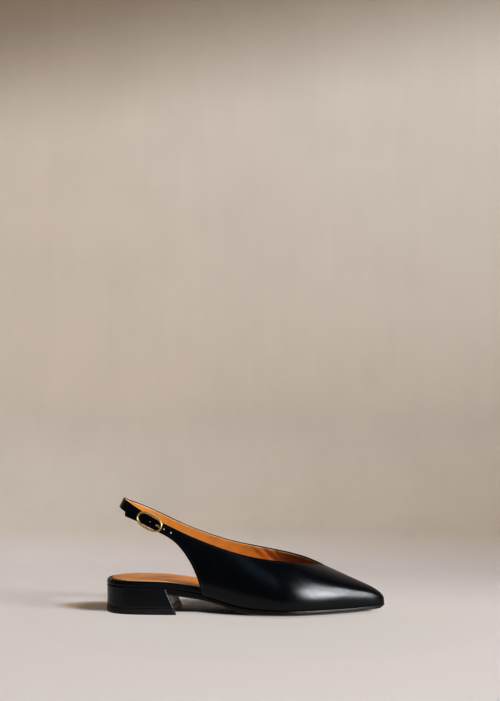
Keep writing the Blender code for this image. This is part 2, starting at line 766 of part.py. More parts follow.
def tube(name, path, radius, closed, collection, finish):
    """A round wire along a path, as a mesh with closed ends."""
    curve = bpy.data.curves.new(name, "CURVE")
    curve.dimensions = "3D"
    curve.bevel_depth = radius * MM
    curve.bevel_resolution = 2
    curve.use_fill_caps = not closed
    line = curve.splines.new("POLY")
    line.points.add(len(path) - 1)
    for spot, at in zip(line.points, path):
        spot.co = (*place(at), 1.0)
    line.use_cyclic_u = closed
    made = bpy.data.objects.new(name + "_curve", curve)
    collection.objects.link(made)
    bpy.context.view_layer.update()
    graph = bpy.context.evaluated_depsgraph_get()
    mesh = bpy.data.meshes.new_from_object(made.evaluated_get(graph))
    bpy.data.objects.remove(made)
    bm = bmesh.new()
    bm.from_mesh(mesh)
    bmesh.ops.remove_doubles(bm, verts=bm.verts, dist=1e-6)
    bm.to_mesh(mesh)
    bm.free()
    mesh.materials.clear()
    return add_object(name, mesh, finish, collection)


def buckle_height():
    """How far the ring stands off the strap at its middle, so that it just clears the strap's edges."""
    middle, _, outward = lateral_frame(BUCKLE_AT, 0)
    share = (STRAP_WIDTH / 2 + BUCKLE_WIRE) / (BUCKLE_WIDTH / 2 - BUCKLE_WIRE)
    crossing = (1 - share**BUCKLE_FULLNESS) ** (1 / BUCKLE_FULLNESS)
    reach = (BUCKLE_LENGTH / 2 - BUCKLE_WIRE) * crossing
    under = [p for end in (-1, 1) for p in strap_rib(BUCKLE_AT + end * reach, LATERAL)]
    return max(np.dot(p - middle, outward) for p in under) + BUCKLE_WIRE + GAP


def build_buckle(parts, cutters):
    """An oval ring over the strap with a dropped bar behind it, and the prong that pins the strap."""
    _, across, _ = strap_axes()
    middle, direction, outward = lateral_frame(BUCKLE_AT, 0)
    centre = middle + outward * buckle_height()
    half_length = BUCKLE_LENGTH / 2 - BUCKLE_WIRE
    half_width = BUCKLE_WIDTH / 2 - BUCKLE_WIRE

    def fuller(value):
        return math.copysign(abs(value) ** (2 / BUCKLE_FULLNESS), value)

    ring = []
    for turn in np.linspace(0, 2 * math.pi, 30, endpoint=False):
        along, aside = half_length * fuller(math.cos(turn)), half_width * fuller(math.sin(turn))
        ring.append(centre + direction * along + across * aside)
    frame = tube("buckle_frame", ring, BUCKLE_WIRE, True, parts, "gold_metal")

    eye = BAR_RADIUS + GAP + EYE_LEATHER
    bar_middle, _, bar_outward = lateral_frame(BAR_AT, WALL + GAP + eye)
    ring_top = centre + direction * np.dot(bar_middle - centre, direction)
    sink = np.dot(ring_top - bar_middle, outward)
    edge = EYE_WIDTH / 2 + 0.4
    steps = ((0.0, 1.0), (0.0, 0.5), (0.1, 0.3), (0.5, 0.12), (1.1, 0.03))
    bend = [(half_width - inward, share) for inward, share in steps] + [(edge, 0.0)]
    whole = bend + [(-a, share) for a, share in bend[::-1]]
    path = [bar_middle + across * a + outward * sink * share for a, share in whole]
    bar = tube("buckle_bar", path, BAR_RADIUS, False, cutters, None)
    bar.hide_render = True
    bar.display_type = "WIRE"
    cut(frame, bar, "UNION")

    turn_radius = BAR_RADIUS + GAP + PRONG_RADIUS
    loop = []
    for turn in np.linspace(200, 0, 11):
        a = math.radians(turn)
        spoke = direction * math.cos(a) - outward * math.sin(a)
        loop.append(bar_middle + spoke * turn_radius)
    ring_end = centre + direction * (BUCKLE_LENGTH / 2 - BUCKLE_WIRE)
    over = BUCKLE_WIRE + GAP + PRONG_RADIUS
    hole = FIRST_HOLE + HOLE_PITCH * PRONG_HOLE
    under = ((hole - 4.5, 4.3), (hole - 2.6, 4.1), (hole - 1.2, 3.5), (hole - 0.5, 2.4), (hole + 0.35, 0.0))
    prong = loop + [lateral_frame(along, depth)[0] for along, depth in under]
    above = ((-2.3, over - 1.5), (-1.5, over - 0.4), (-0.6, over), (0.8, over - 0.1))
    prong += [ring_end + direction * a + outward * b for a, b in above]
    tube("buckle_prong", prong, PRONG_RADIUS, False, parts, "gold_metal")
    return bar_middle, direction, outward


def cut_prong_slots(upper, bar_middle, direction, outward, cutters):
    """Room for the prong: a notch in the sling's eye and a longer hole in the strap."""
    bm = bmesh.new()
    eye = BAR_RADIUS + GAP + EYE_LEATHER
    notch = 2 * (PRONG_RADIUS + GAP) + 0.2
    at = bar_middle + direction * 0.2
    size = Matrix.Diagonal((2 * eye + 2.8, notch, 2 * eye + GAP, 1.0))
    bmesh.ops.create_cube(bm, size=MM, matrix=oriented(at, direction, outward) @ size)
    cut(upper, add_cutter("eye_notch", bm, cutters))
    bm = bmesh.new()
    hole = oriented(*lateral_frame(FIRST_HOLE + HOLE_PITCH * PRONG_HOLE, (WALL + GAP) / 2 - GAP / 4))
    size = Matrix.Diagonal((3.0, notch, WALL + 2 * GAP, 1.0))
    bmesh.ops.create_cube(bm, size=MM, matrix=hole @ size)
    cut(upper, add_cutter("prong_hole", bm, cutters))


def build():
    for obj in list(bpy.data.objects):
        bpy.data.objects.remove(obj)
    parts = bpy.data.collections.new("slingback_flat")
    cutters = bpy.data.collections.new("cutters")
    for collection in (parts, cutters):
        bpy.context.scene.collection.children.link(collection)
    build_outsole(parts)
    build_heel(parts)
    build_footbed(parts)
    build_sock(parts)
    upper = build_upper(parts, cutters)
    bar_middle, direction, outward = build_buckle(parts, cutters)
    cut_prong_slots(upper, bar_middle, direction, outward, cutters)


build()
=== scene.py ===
"""Dresses the slingback flat for its picture: leather, lining, thread, buckle, sole, heel and studio.

Sizes are in millimetres, with x measured forward from the back of the heel seat, -y to the outer side and z
up from the floor. place() moves them to metres about the frame's origin.
"""

import logging
import math
from bisect import bisect_right
from dataclasses import dataclass, replace
from enum import Enum, auto
from typing import Callable, Iterable, NamedTuple, Sequence

import bmesh
import bpy
import numpy as np
from bmesh.types import BMesh, BMLoop, BMVert
from bpy.types import Material, Mesh, Node, NodeSocket as Socket, NodeTree, Object
from mathutils import Matrix, Quaternion, Vector
from mathutils.bvhtree import BVHTree


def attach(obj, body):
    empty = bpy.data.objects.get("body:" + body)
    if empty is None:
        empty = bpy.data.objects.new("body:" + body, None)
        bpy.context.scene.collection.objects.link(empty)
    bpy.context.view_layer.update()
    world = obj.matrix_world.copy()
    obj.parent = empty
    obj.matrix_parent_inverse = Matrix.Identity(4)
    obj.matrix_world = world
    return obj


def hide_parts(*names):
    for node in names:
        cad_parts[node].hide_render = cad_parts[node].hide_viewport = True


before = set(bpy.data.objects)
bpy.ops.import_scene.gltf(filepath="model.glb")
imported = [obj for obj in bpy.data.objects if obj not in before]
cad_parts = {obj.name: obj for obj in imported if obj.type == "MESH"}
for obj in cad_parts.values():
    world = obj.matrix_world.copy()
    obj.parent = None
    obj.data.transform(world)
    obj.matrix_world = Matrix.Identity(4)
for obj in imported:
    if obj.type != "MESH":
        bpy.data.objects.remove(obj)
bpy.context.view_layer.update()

MM = 0.001
ORIGIN_X = 129.25
ROOT = "root"

log = logging.getLogger("slingback_flat")

Point = np.ndarray
Frame = tuple[Point, Point, Point]
Curve = Callable[[float], float]
Span = tuple[float, float]
Triple = tuple[float, float, float]
Colour = Triple

BLACK: Colour = (0.0, 0.0, 0.0)
WHITE: Colour = (1.0, 1.0, 1.0)
CUT_EDGE = "edge"
WELD = 1e-7
SOFT_ANGLE = 40.0
NO_STRETCH: Triple = (1.0, 1.0, 1.0)
NOISE_SPAN: Span = (0.3, 0.7)
PATCH_SPAN: Span = (0.0, 0.6)
PATCH_STRENGTH = 1.6
MIX_FIRST, MIX_SECOND, MIX_RESULT = 6, 7, 2


class Side(Enum):
    """The two sides of the shoe, with the sign of y on each."""

    LATERAL = -1
    MEDIAL = 1


class Slot(Enum):
    """The record's material slots."""

    BLACK_LEATHER = "black_leather"
    HEEL_LEATHER = "heel_leather"
    TAN_LEATHER = "tan_leather"
    SOLE_BLACK = "sole_black"
    LIFT_RUBBER = "lift_rubber"
    GOLD_METAL = "gold_metal"


class Section(NamedTuple):
    """A section of the last: instep line, half-widths at the sole and of the wall, and crown height."""

    x: float
    spine: float
    sole_lateral: float
    sole_medial: float
    wall_lateral: float
    wall_medial: float
    crown: float


class Level(NamedTuple):
    """Heights along the sole: the footbed's seat, the underside, the edge's lift and the bed's thickness."""

    x: float
    seat: float
    ground: float
    edge_lift: float
    bed: float


class Topline(NamedTuple):
    """Heights of the topline on each side."""

    x: float
    lateral: float
    medial: float


class Crease(NamedTuple):
    """A fold in the lining: its place along the topline, its half-width and how far it stands in."""

    at: float
    width: float
    push: float


class RimStep(NamedTuple):
    """A line round the footbed's rim: how far in it lies, and its shares of the height and of the lip."""

    inset: float
    share: float
    lip: float


class EdgeStep(NamedTuple):
    """A line round the edge of a piece: how far it is off the piece's flat face, and how far in it lies."""

    off: float
    inset: float


class SoleStep(NamedTuple):
    """A line round the sole's edge: its share of the height, how far in it lies, how far back at the toe."""

    share: float
    tuck: float
    nose: float


class WireStep(NamedTuple):
    """A point of the buckle's wire: how far along its run it lies, and how far off it."""

    along: float
    off: float


class Rib(NamedTuple):
    """A cross line of the upper, from its lower to its upper edge: its points, its share of the full wall,
    and whether its lower end sits on the sole."""

    points: list[Point]
    share: float
    on_sole: bool


SECTIONS = (
    Section(-2.9, 0.0, 0.0, 0.0, 31.0, 31.0, 205.0),
    Section(6.0, 0.0, 20.3, 20.3, 31.0, 31.0, 203.0),
    Section(22.0, 0.0, 27.4, 27.4, 31.0, 31.0, 198.0),
    Section(45.0, 0.1, 28.8, 28.8, 31.2, 31.1, 190.0),
    Section(70.0, 0.4, 27.9, 26.9, 31.9, 31.2, 172.0),
    Section(92.0, 1.0, 27.2, 24.0, 33.2, 30.9, 146.0),
    Section(112.0, 1.9, 29.0, 22.9, 35.6, 30.4, 116.0),
    Section(131.0, 2.8, 33.4, 25.4, 38.9, 31.0, 90.0),
    Section(150.0, 3.6, 38.4, 29.3, 42.1, 32.8, 71.0),
    Section(165.0, 4.1, 40.9, 31.3, 43.4, 34.3, 61.5),
    Section(180.0, 4.6, 38.6, 31.5, 41.0, 34.5, 54.0),
    Section(200.0, 4.9, 31.5, 27.6, 33.8, 30.0, 44.2),
    Section(215.0, 5.1, 24.6, 22.6, 27.4, 24.6, 37.6),
    Section(230.0, 5.3, 17.6, 16.2, 19.9, 17.9, 31.0),
    Section(244.0, 5.4, 10.9, 10.1, 12.3, 11.4, 24.9),
    Section(253.0, 5.5, 6.1, 5.9, 7.0, 6.7, 19.6),
    Section(258.0, 5.5, 0.0, 0.0, 0.0, 0.0, 12.0),
)
LEVELS = (
    Level(0.0, 25.0, 18.0, 0.0, 4.4),
    Level(45.0, 24.7, 17.8, 0.0, 4.5),
    Level(58.0, 23.9, 18.4, 0.0, 4.8),
    Level(72.0, 22.1, 16.8, 0.0, 5.2),
    Level(88.0, 19.4, 14.4, 0.0, 5.6),
    Level(100.0, 15.8, 12.0, 0.3, 5.5),
    Level(112.0, 11.9, 8.0, 0.8, 4.6),
    Level(125.0, 9.0, 3.4, 1.7, 3.4),
    Level(138.0, 7.6, 0.5, 2.4, 2.7),
    Level(150.0, 7.1, 0.0, 2.9, 2.4),
    Level(180.0, 6.9, 0.0, 3.2, 2.3),
    Level(200.0, 6.7, 0.5, 2.9, 2.2),
    Level(220.0, 6.6, 1.5, 2.3, 2.2),
    Level(240.0, 6.9, 2.9, 1.5, 2.1),
    Level(258.0, 8.2, 4.7, 0.8, 2.0),
)
TOPLINE = (
    Topline(59.0, 83.6, 82.0),
    Topline(72.0, 77.4, 76.2),
    Topline(90.0, 69.8, 69.5),
    Topline(110.0, 62.6, 63.3),
    Topline(131.0, 56.6, 58.9),
    Topline(150.0, 53.0, 55.6),
    Topline(165.0, 50.9, 53.1),
)
QUARTER_EDGE = (
    (54.5, 75.4), (64.5, 69.9), (72.4, 62.8), (78.9, 54.2), (84.5, 44.4), (88.8, 33.6), (91.3, 24.0),
)


def place(point: Sequence[float]) -> Triple:
    """From the shoe's own millimetres to metres about the origin."""
    return ((point[0] - ORIGIN_X) * MM, point[1] * MM, point[2] * MM)


def smooth_step(x: float, start: float, end: float) -> float:
    """Rises from 0 at start to 1 at end without a kink."""
    t = min(max((x - start) / (end - start), 0.0), 1.0)
    return t * t * (3 - 2 * t)


def unit(vector: Point) -> Point:
    """The vector at length 1."""
    return vector / np.linalg.norm(vector)


def arc_length(points: Sequence[Point]) -> np.ndarray:
    """The running length along a line of points."""
    steps = np.linalg.norm(np.diff(np.asarray(points), axis=0), axis=1)
    return np.concatenate([[0.0], np.cumsum(steps)])


def resample(points: Sequence[Point], count: int) -> np.ndarray:
    """That many points, evenly spaced along a line."""
    run = arc_length(points)
    return np.transpose([np.interp(np.linspace(0, run[-1], count), run, c) for c in np.transpose(points)])


class Spline:
    """A smooth curve through points, free of bending at its ends."""

    def __init__(self, xs: Sequence[float], ys: Sequence[float]) -> None:
        """Solves the curve.

        Args:
            xs: rising places of the points.
            ys: their values.
        """
        count = len(xs)
        h = np.diff(xs)
        system, right = np.eye(count), np.zeros(count)
        for i in range(1, count - 1):
            system[i, i - 1 : i + 2] = h[i - 1], 2 * (h[i - 1] + h[i]), h[i]
            right[i] = 6 * ((ys[i + 1] - ys[i]) / h[i] - (ys[i] - ys[i - 1]) / h[i - 1])
        self.bend = np.linalg.solve(system, right).tolist()
        self.xs, self.ys, self.h = list(xs), list(ys), h.tolist()

    def __call__(self, x: float) -> float:
        """The curve's value.

        Args:
            x: the place.

        Returns:
            The value there.
        """
        i = min(max(bisect_right(self.xs, x) - 1, 0), len(self.xs) - 2)
        h = self.h[i]
        a, b = (self.xs[i + 1] - x) / h, (x - self.xs[i]) / h
        curve = ((a**3 - a) * self.bend[i] + (b**3 - b) * self.bend[i + 1]) * h * h / 6
        return a * self.ys[i] + b * self.ys[i + 1] + curve


@dataclass
class Last:
    """The form that the shoe is made on, with the lines of its edges and the sling's loop."""

    length: float = SECTIONS[-1].x
    back: float = SECTIONS[0].x
    bed_inset: float = -SECTIONS[0].x
    fullness: float = 0.32
    tuck_rise: float = 8.0
    joint_gap: float = 0.3
    shank_to_forepart: Span = (86.0, 106.0)
    toe_fades: Span = (215.0, 246.0)
    throat_point: float = 202.3
    throat_curve: float = 4.0
    strap_back: Span = (13.45, 100.9)
    strap_slope: float = math.radians(26.3)
    strap_loop: float = 50.0
    strap_width: float = 9.4

    def __post_init__(self) -> None:
        """Lays the curves through the tables."""
        self.strap_cos, self.strap_sin = math.cos(self.strap_slope), math.sin(self.strap_slope)
        us = [self.rounded(s.x) for s in SECTIONS]

        def section_curve(column: str) -> Curve:
            """A column of the sections, as a function of x."""
            curve = Spline(us, [getattr(s, column) for s in SECTIONS])
            return lambda x: curve(self.rounded(x))

        def level_curve(column: str) -> Spline:
            """A column of the levels, as a function of x."""
            return Spline([r.x for r in LEVELS], [getattr(r, column) for r in LEVELS])

        self.spine, self.crown = section_curve("spine"), section_curve("crown")
        self.sole_width = {s: section_curve("sole_" + s.name.lower()) for s in Side}
        self.wall_width = {s: section_curve("wall_" + s.name.lower()) for s in Side}
        self.seat, self.bed = level_curve("seat"), level_curve("bed")
        self.edge_lift, self.ground_curve = level_curve("edge_lift"), level_curve("ground")
        xs = [r.x for r in TOPLINE]
        self.top_edge = {s: Spline(xs, [getattr(r, s.name.lower()) for r in TOPLINE]) for s in Side}

    def rounded(self, x: float) -> float:
        """Maps x to a parameter from 0 to 1 in which both ends of the last are round."""
        share = min(max((x - self.back) / (self.length - self.back), 0.0), 1.0)
        return math.acos(1 - 2 * share) / math.pi

    def station(self, u: float) -> float:
        """The x of a parameter that rounded() gives."""
        return self.back + (self.length - self.back) * (1 - math.cos(math.pi * u)) / 2

    def ground(self, x: float) -> float:
        """The underside of the sole along its middle."""
        return max(self.ground_curve(x), 0.0)

    def feather(self, x: float) -> float:
        """The height of the upper's lower edge."""
        return self.seat(x) + self.joint_gap

    def strap_coordinates(self, x: float, z: float) -> Span:
        """How far along and how far across the strap a side-view point lies, in the sling's sloping plane."""
        dx, dz = x - self.strap_back[0], z - self.strap_back[1]
        return dx * self.strap_cos - dz * self.strap_sin, dx * self.strap_sin + dz * self.strap_cos

    def strap_point(self, along: float, across: float) -> Span:
        """The side-view (x, z) of a point in the sling's plane."""
        (x, z), cos, sin = self.strap_back, self.strap_cos, self.strap_sin
        return x + along * cos + across * sin, z - along * sin + across * cos

    def across(self) -> Point:
        """The unit vector across the strap."""
        return np.array((self.strap_sin, 0.0, self.strap_cos))

    def point(self, x: float, turn: float, side: Side) -> Point:
        """A point of the last's skin.

        Args:
            x: place along the shoe.
            turn: from 0 at the sole's edge to 1 on the crown.
            side: which half.

        Returns:
            The point in millimetres.
        """
        cos, sin = math.cos(turn * math.pi / 2), math.sin(turn * math.pi / 2)
        low = self.feather(x)
        rise = self.crown(x) - low
        z = low + rise * sin
        along = self.strap_coordinates(x, z)[0]
        back = min(max((self.strap_loop - along) / self.strap_loop, 0.0), 1.0)
        wall = self.wall_width[side](x)
        tuck = wall - self.sole_width[side](x)
        out = cos * (wall * (1 + self.fullness * sin * sin) - tuck * math.exp(-rise * sin / self.tuck_rise))
        return np.array((x, self.spine(x) + side.value * out * math.sqrt(1 - back * back), z))

    def turn_at(self, x: float, z: float) -> float:
        """The turn that reaches the height z on the section at x."""
        low = self.feather(x)
        return math.asin(min(max((z - low) / (self.crown(x) - low), -1.0), 1.0)) * 2 / math.pi

    def topline_turn(self, x: float, side: Side) -> float:
        """The turn of the topline, which sweeps in from the sides to the throat point.

        Args:
            x: place along the shoe.
            side: which half.

        Returns:
            The turn, as in point().
        """
        start, edge = TOPLINE[-1].x, self.top_edge[side]
        if x <= start:
            return self.turn_at(x, edge(x))
        begin = self.turn_at(start, edge(start))
        span = self.throat_point - start
        straight = (begin - self.turn_at(start - 1, edge(start - 1))) * span
        share = (x - start) / span
        return begin + straight * share + (1 - begin - straight) * share**self.throat_curve

    def outline(self, inset: Curve, steps: int) -> tuple[np.ndarray, np.ndarray]:
        """The sole's edge moved in.

        Args:
            inset: how far, as a function of x.
            steps: points along each side.

        Returns:
            The lateral and the medial line, both from the heel to the toe.
        """
        xs = [self.station(u) for u in np.linspace(0, 1, steps + 1)]
        sides = {
            s: [np.array((x, self.spine(x) + s.value * self.sole_width[s](x))) for x in xs] for s in Side
        }
        loop = sides[Side.LATERAL] + sides[Side.MEDIAL][-2:0:-1]
        moved = []
        for i, point in enumerate(loop):
            tangent = unit(loop[(i + 1) % len(loop)] - loop[i - 1])
            moved.append(point - np.array((tangent[1], -tangent[0])) * inset(point[0]))
        medial = [moved[0]] + moved[steps + 1 :][::-1] + [moved[steps]]
        return np.array(moved[: steps + 1]), np.array(medial)

    def toe_fade(self, x: float) -> float:
        """Falls from 1 to 0 towards the toe, where an edge has no room to be rounded."""
        return 1 - smooth_step(x, *self.toe_fades)


class Ease(Enum):
    """How a value goes from one end of a range to the other."""

    LINEAR = auto()
    SMOOTHSTEP = auto()


class Maths(Enum):
    """The sums that a node can do."""

    ADD = auto()
    SUBTRACT = auto()
    MULTIPLY = auto()
    MINIMUM = auto()


class Grain(Enum):
    """How many layers of ever finer noise lie on a pattern's blotches."""

    SMOOTH = 1.0
    SOFT = 2.0
    ROUGH = 3.0
    FINE = 4.0
    SCUFFED = 5.0


class NodeBuilder:
    """Adds nodes to a tree."""

    def __init__(self, tree: NodeTree) -> None:
        """Keeps the tree and its parts."""
        self.tree, self.nodes, self.links = tree, tree.nodes, tree.links

    def add(self, kind: str, inputs: dict[str | int, object], **settings: object) -> Node:
        """Adds a node.

        Args:
            kind: the node's type.
            inputs: for each input, by name or number, the socket that feeds it or a constant.
            settings: the node's properties.

        Returns:
            The node.
        """
        node = self.nodes.new(kind)
        for key, value in settings.items():
            setattr(node, key, value)
        for key, value in inputs.items():
            if isinstance(value, Socket):
                self.links.new(value, node.inputs[key])
            else:
                node.inputs[key].default_value = value
        return node


class ShaderTree(NodeBuilder):
    """A material with a Principled shader, and short calls that add nodes to it."""

    def __init__(self, name: str) -> None:
        """Makes the material.

        Args:
            name: the material's name.
        """
        self.material = bpy.data.materials.new(name)
        self.material.use_nodes = True
        super().__init__(self.material.node_tree)
        self.shader = self.nodes["Principled BSDF"]
        self.coordinates = self.add("ShaderNodeTexCoord", {}).outputs["Object"]

    def set(self, **values: object) -> None:
        """Sets constants on the shader; an underscore stands for a space."""
        for key, value in values.items():
            self.shader.inputs[key.replace("_", " ")].default_value = value

    def feed(self, source: Socket, socket: str) -> None:
        """Links a socket to one of the shader's inputs."""
        self.links.new(source, self.shader.inputs[socket])

    def noise(self, size_mm: float, grain: Grain, stretch: Triple = NO_STRETCH) -> Socket:
        """Soft noise.

        Args:
            size_mm: about how far across its blotches are.
            grain: how fine it gets.
            stretch: below 1 on an axis along which the blotches are longer.

        Returns:
            A socket from 0 to 1.
        """
        vector = self.coordinates
        if stretch != NO_STRETCH:
            vector = self.add("ShaderNodeMapping", {"Vector": vector, "Scale": stretch}).outputs["Vector"]
        inputs = {"Vector": vector, "Scale": 1 / (size_mm * MM), "Detail": grain.value}
        return self.add("ShaderNodeTexNoise", inputs).outputs["Fac"]

    def pores(self, size_mm: float) -> Socket:
        """The distance from the middle of each of a field of cells, as in the grain of leather."""
        inputs = {"Vector": self.coordinates, "Scale": 1 / (size_mm * MM)}
        return self.add("ShaderNodeTexVoronoi", inputs).outputs["Distance"]

    def spread(
        self, source: Socket, low: float, high: float, span: Span = NOISE_SPAN, ease: Ease = Ease.LINEAR
    ) -> Socket:
        """Maps a range of a socket's values to another range.

        Args:
            source: the socket.
            low: the result up to the range's start.
            high: the result from its end on.
            span: the start and the end.
            ease: the way between them.

        Returns:
            The mapped socket.
        """
        inputs = {"Value": source, "From Min": span[0], "From Max": span[1], "To Min": low, "To Max": high}
        return self.add("ShaderNodeMapRange", inputs, interpolation_type=ease.name).outputs["Result"]

    def blend(self, share: Socket, first: Colour | Socket, second: Colour | Socket) -> Socket:
        """A colour between two.

        Args:
            share: how much there is of the second one.
            first: a colour or a colour socket.
            second: another.

        Returns:
            A colour socket.
        """
        pair = [c if isinstance(c, Socket) else (*c, 1.0) for c in (first, second)]
        inputs = {"Factor": share, MIX_FIRST: pair[0], MIX_SECOND: pair[1]}
        return self.add("ShaderNodeMix", inputs, data_type="RGBA").outputs[MIX_RESULT]

    def maths(self, sum_of: Maths, first: Socket, second: Socket | float) -> Socket:
        """A sum of a socket and another socket or a number."""
        return self.add("ShaderNodeMath", {0: first, 1: second}, operation=sum_of.name).outputs["Value"]

    def times(self, first: Socket, second: Socket | float) -> Socket:
        """A socket times another socket or a number."""
        return self.maths(Maths.MULTIPLY, first, second)

    def plus(self, first: Socket, second: Socket | float) -> Socket:
        """A socket plus another socket or a number."""
        return self.maths(Maths.ADD, first, second)

    def patch(self, middle: Triple, size: Triple) -> Socket:
        """A soft patch.

        Args:
            middle: its middle in millimetres.
            size: its half sizes.

        Returns:
            A socket that is PATCH_STRENGTH in the patch's middle and falls to 0 at its half sizes.
        """
        inputs = {
            "Vector": self.coordinates,
            "Location": [-m / s for m, s in zip(middle, size)],
            "Scale": [1 / (s * MM) for s in size],
        }
        moved = self.add("ShaderNodeMapping", inputs).outputs["Vector"]
        ball = self.add("ShaderNodeTexGradient", {"Vector": moved}, gradient_type="SPHERICAL")
        return self.spread(ball.outputs["Fac"], 0.0, PATCH_STRENGTH, PATCH_SPAN)

    def relief(self, *layers: tuple[Socket, float, float]) -> None:
        """Stacks bumps on the shader's normal.

        Args:
            layers: (height socket, strength, depth in millimetres), from broad to fine.
        """
        inputs: dict[str, object] = {}
        for height, strength, depth in layers:
            inputs |= {"Height": height, "Strength": strength, "Distance": depth * MM}
            inputs["Normal"] = self.add("ShaderNodeBump", inputs).outputs["Normal"]
        self.feed(inputs["Normal"], "Normal")


@dataclass(frozen=True)
class PaintedShade:
    """A patch of painted shade, streaky or even: its middle and half sizes in millimetres, and its colour."""

    middle: Triple
    size: Triple
    colour: Colour
    streaky: bool = False


@dataclass(frozen=True)
class SmoothLeather:
    """Dyed smooth leather: fine pores, faint unevenness, a paler cut edge and, where given, painted shade."""

    name: str
    colour: Colour
    shade: Colour
    edge: Colour
    roughness: Span
    specular: float = 0.5
    sheen_tint: Colour = WHITE
    sheen_mm: float = 5.0
    pore_mm: float = 0.55
    pore_relief: float = 0.12
    pore_depth: float = 0.05
    uneven_mm: float = 14.0
    uneven_relief: float = 0.1
    uneven_depth: float = 0.4
    mottle_mm: float = 18.0
    painted_shade: PaintedShade | None = None
    streak_mm: float = 3.5
    streak_stretch: Triple = (0.3, 1.0, 1.0)

    def material(self) -> Material:
        """Builds the finish.

        Returns:
            The material.
        """
        tree = ShaderTree(self.name)
        mottle = tree.spread(tree.noise(self.mottle_mm, Grain.FINE), 0.0, 1.0)
        face = tree.blend(mottle, self.shade, self.colour)
        # painted shade: a darker patch, streaky where asked, stands in for shade falling on the leather
        if self.painted_shade:
            shaded = tree.patch(self.painted_shade.middle, self.painted_shade.size)
            if self.painted_shade.streaky:
                shaded = tree.times(shaded, tree.noise(self.streak_mm, Grain.FINE, self.streak_stretch))
            face = tree.blend(shaded, face, self.painted_shade.colour)
        cut = tree.add("ShaderNodeAttribute", {}, attribute_name=CUT_EDGE).outputs["Fac"]
        tree.feed(tree.blend(cut, face, self.edge), "Base Color")
        tree.feed(tree.spread(tree.noise(self.sheen_mm, Grain.ROUGH), *self.roughness), "Roughness")
        tree.set(Specular_IOR_Level=self.specular, Specular_Tint=(*self.sheen_tint, 1.0))
        uneven, pores = tree.noise(self.uneven_mm, Grain.SMOOTH), tree.pores(self.pore_mm)
        broad = (uneven, self.uneven_relief, self.uneven_depth)
        tree.relief(broad, (pores, self.pore_relief, self.pore_depth))
        return tree.material


class Blotches(NamedTuple):
    """A noise: the size of its blotches in millimetres, its grain, and the stretch and span that it has."""

    size: float
    grain: Grain
    stretch: Triple = NO_STRETCH
    span: Span = NOISE_SPAN


@dataclass(frozen=True)
class PlainFinish:
    """Rubber, plating or thread: a second tone in blotches, an uneven sheen and mostly a fine relief.

    The relief's blotches come with a strength and a depth in millimetres.
    """

    name: str
    colour: Colour
    second: Colour
    tones: Blotches
    sheen: Blotches
    roughness: Span
    relief: tuple[Blotches, float, float] | None = None
    specular: float = 0.5
    metallic: float = 0.0

    def material(self) -> Material:
        """Builds the finish.

        Returns:
            The material.
        """
        tree = ShaderTree(self.name)
        tones = tree.noise(self.tones.size, self.tones.grain, self.tones.stretch)
        tones = tree.spread(tones, 0.0, 1.0, self.tones.span)
        tree.feed(tree.blend(tones, self.colour, self.second), "Base Color")
        tree.feed(tree.spread(tree.noise(self.sheen.size, self.sheen.grain), *self.roughness), "Roughness")
        tree.set(Specular_IOR_Level=self.specular, Metallic=self.metallic)
        if self.relief:
            grain, strength, depth = self.relief
            tree.relief((tree.noise(grain.size, grain.grain), strength, depth))
        return tree.material


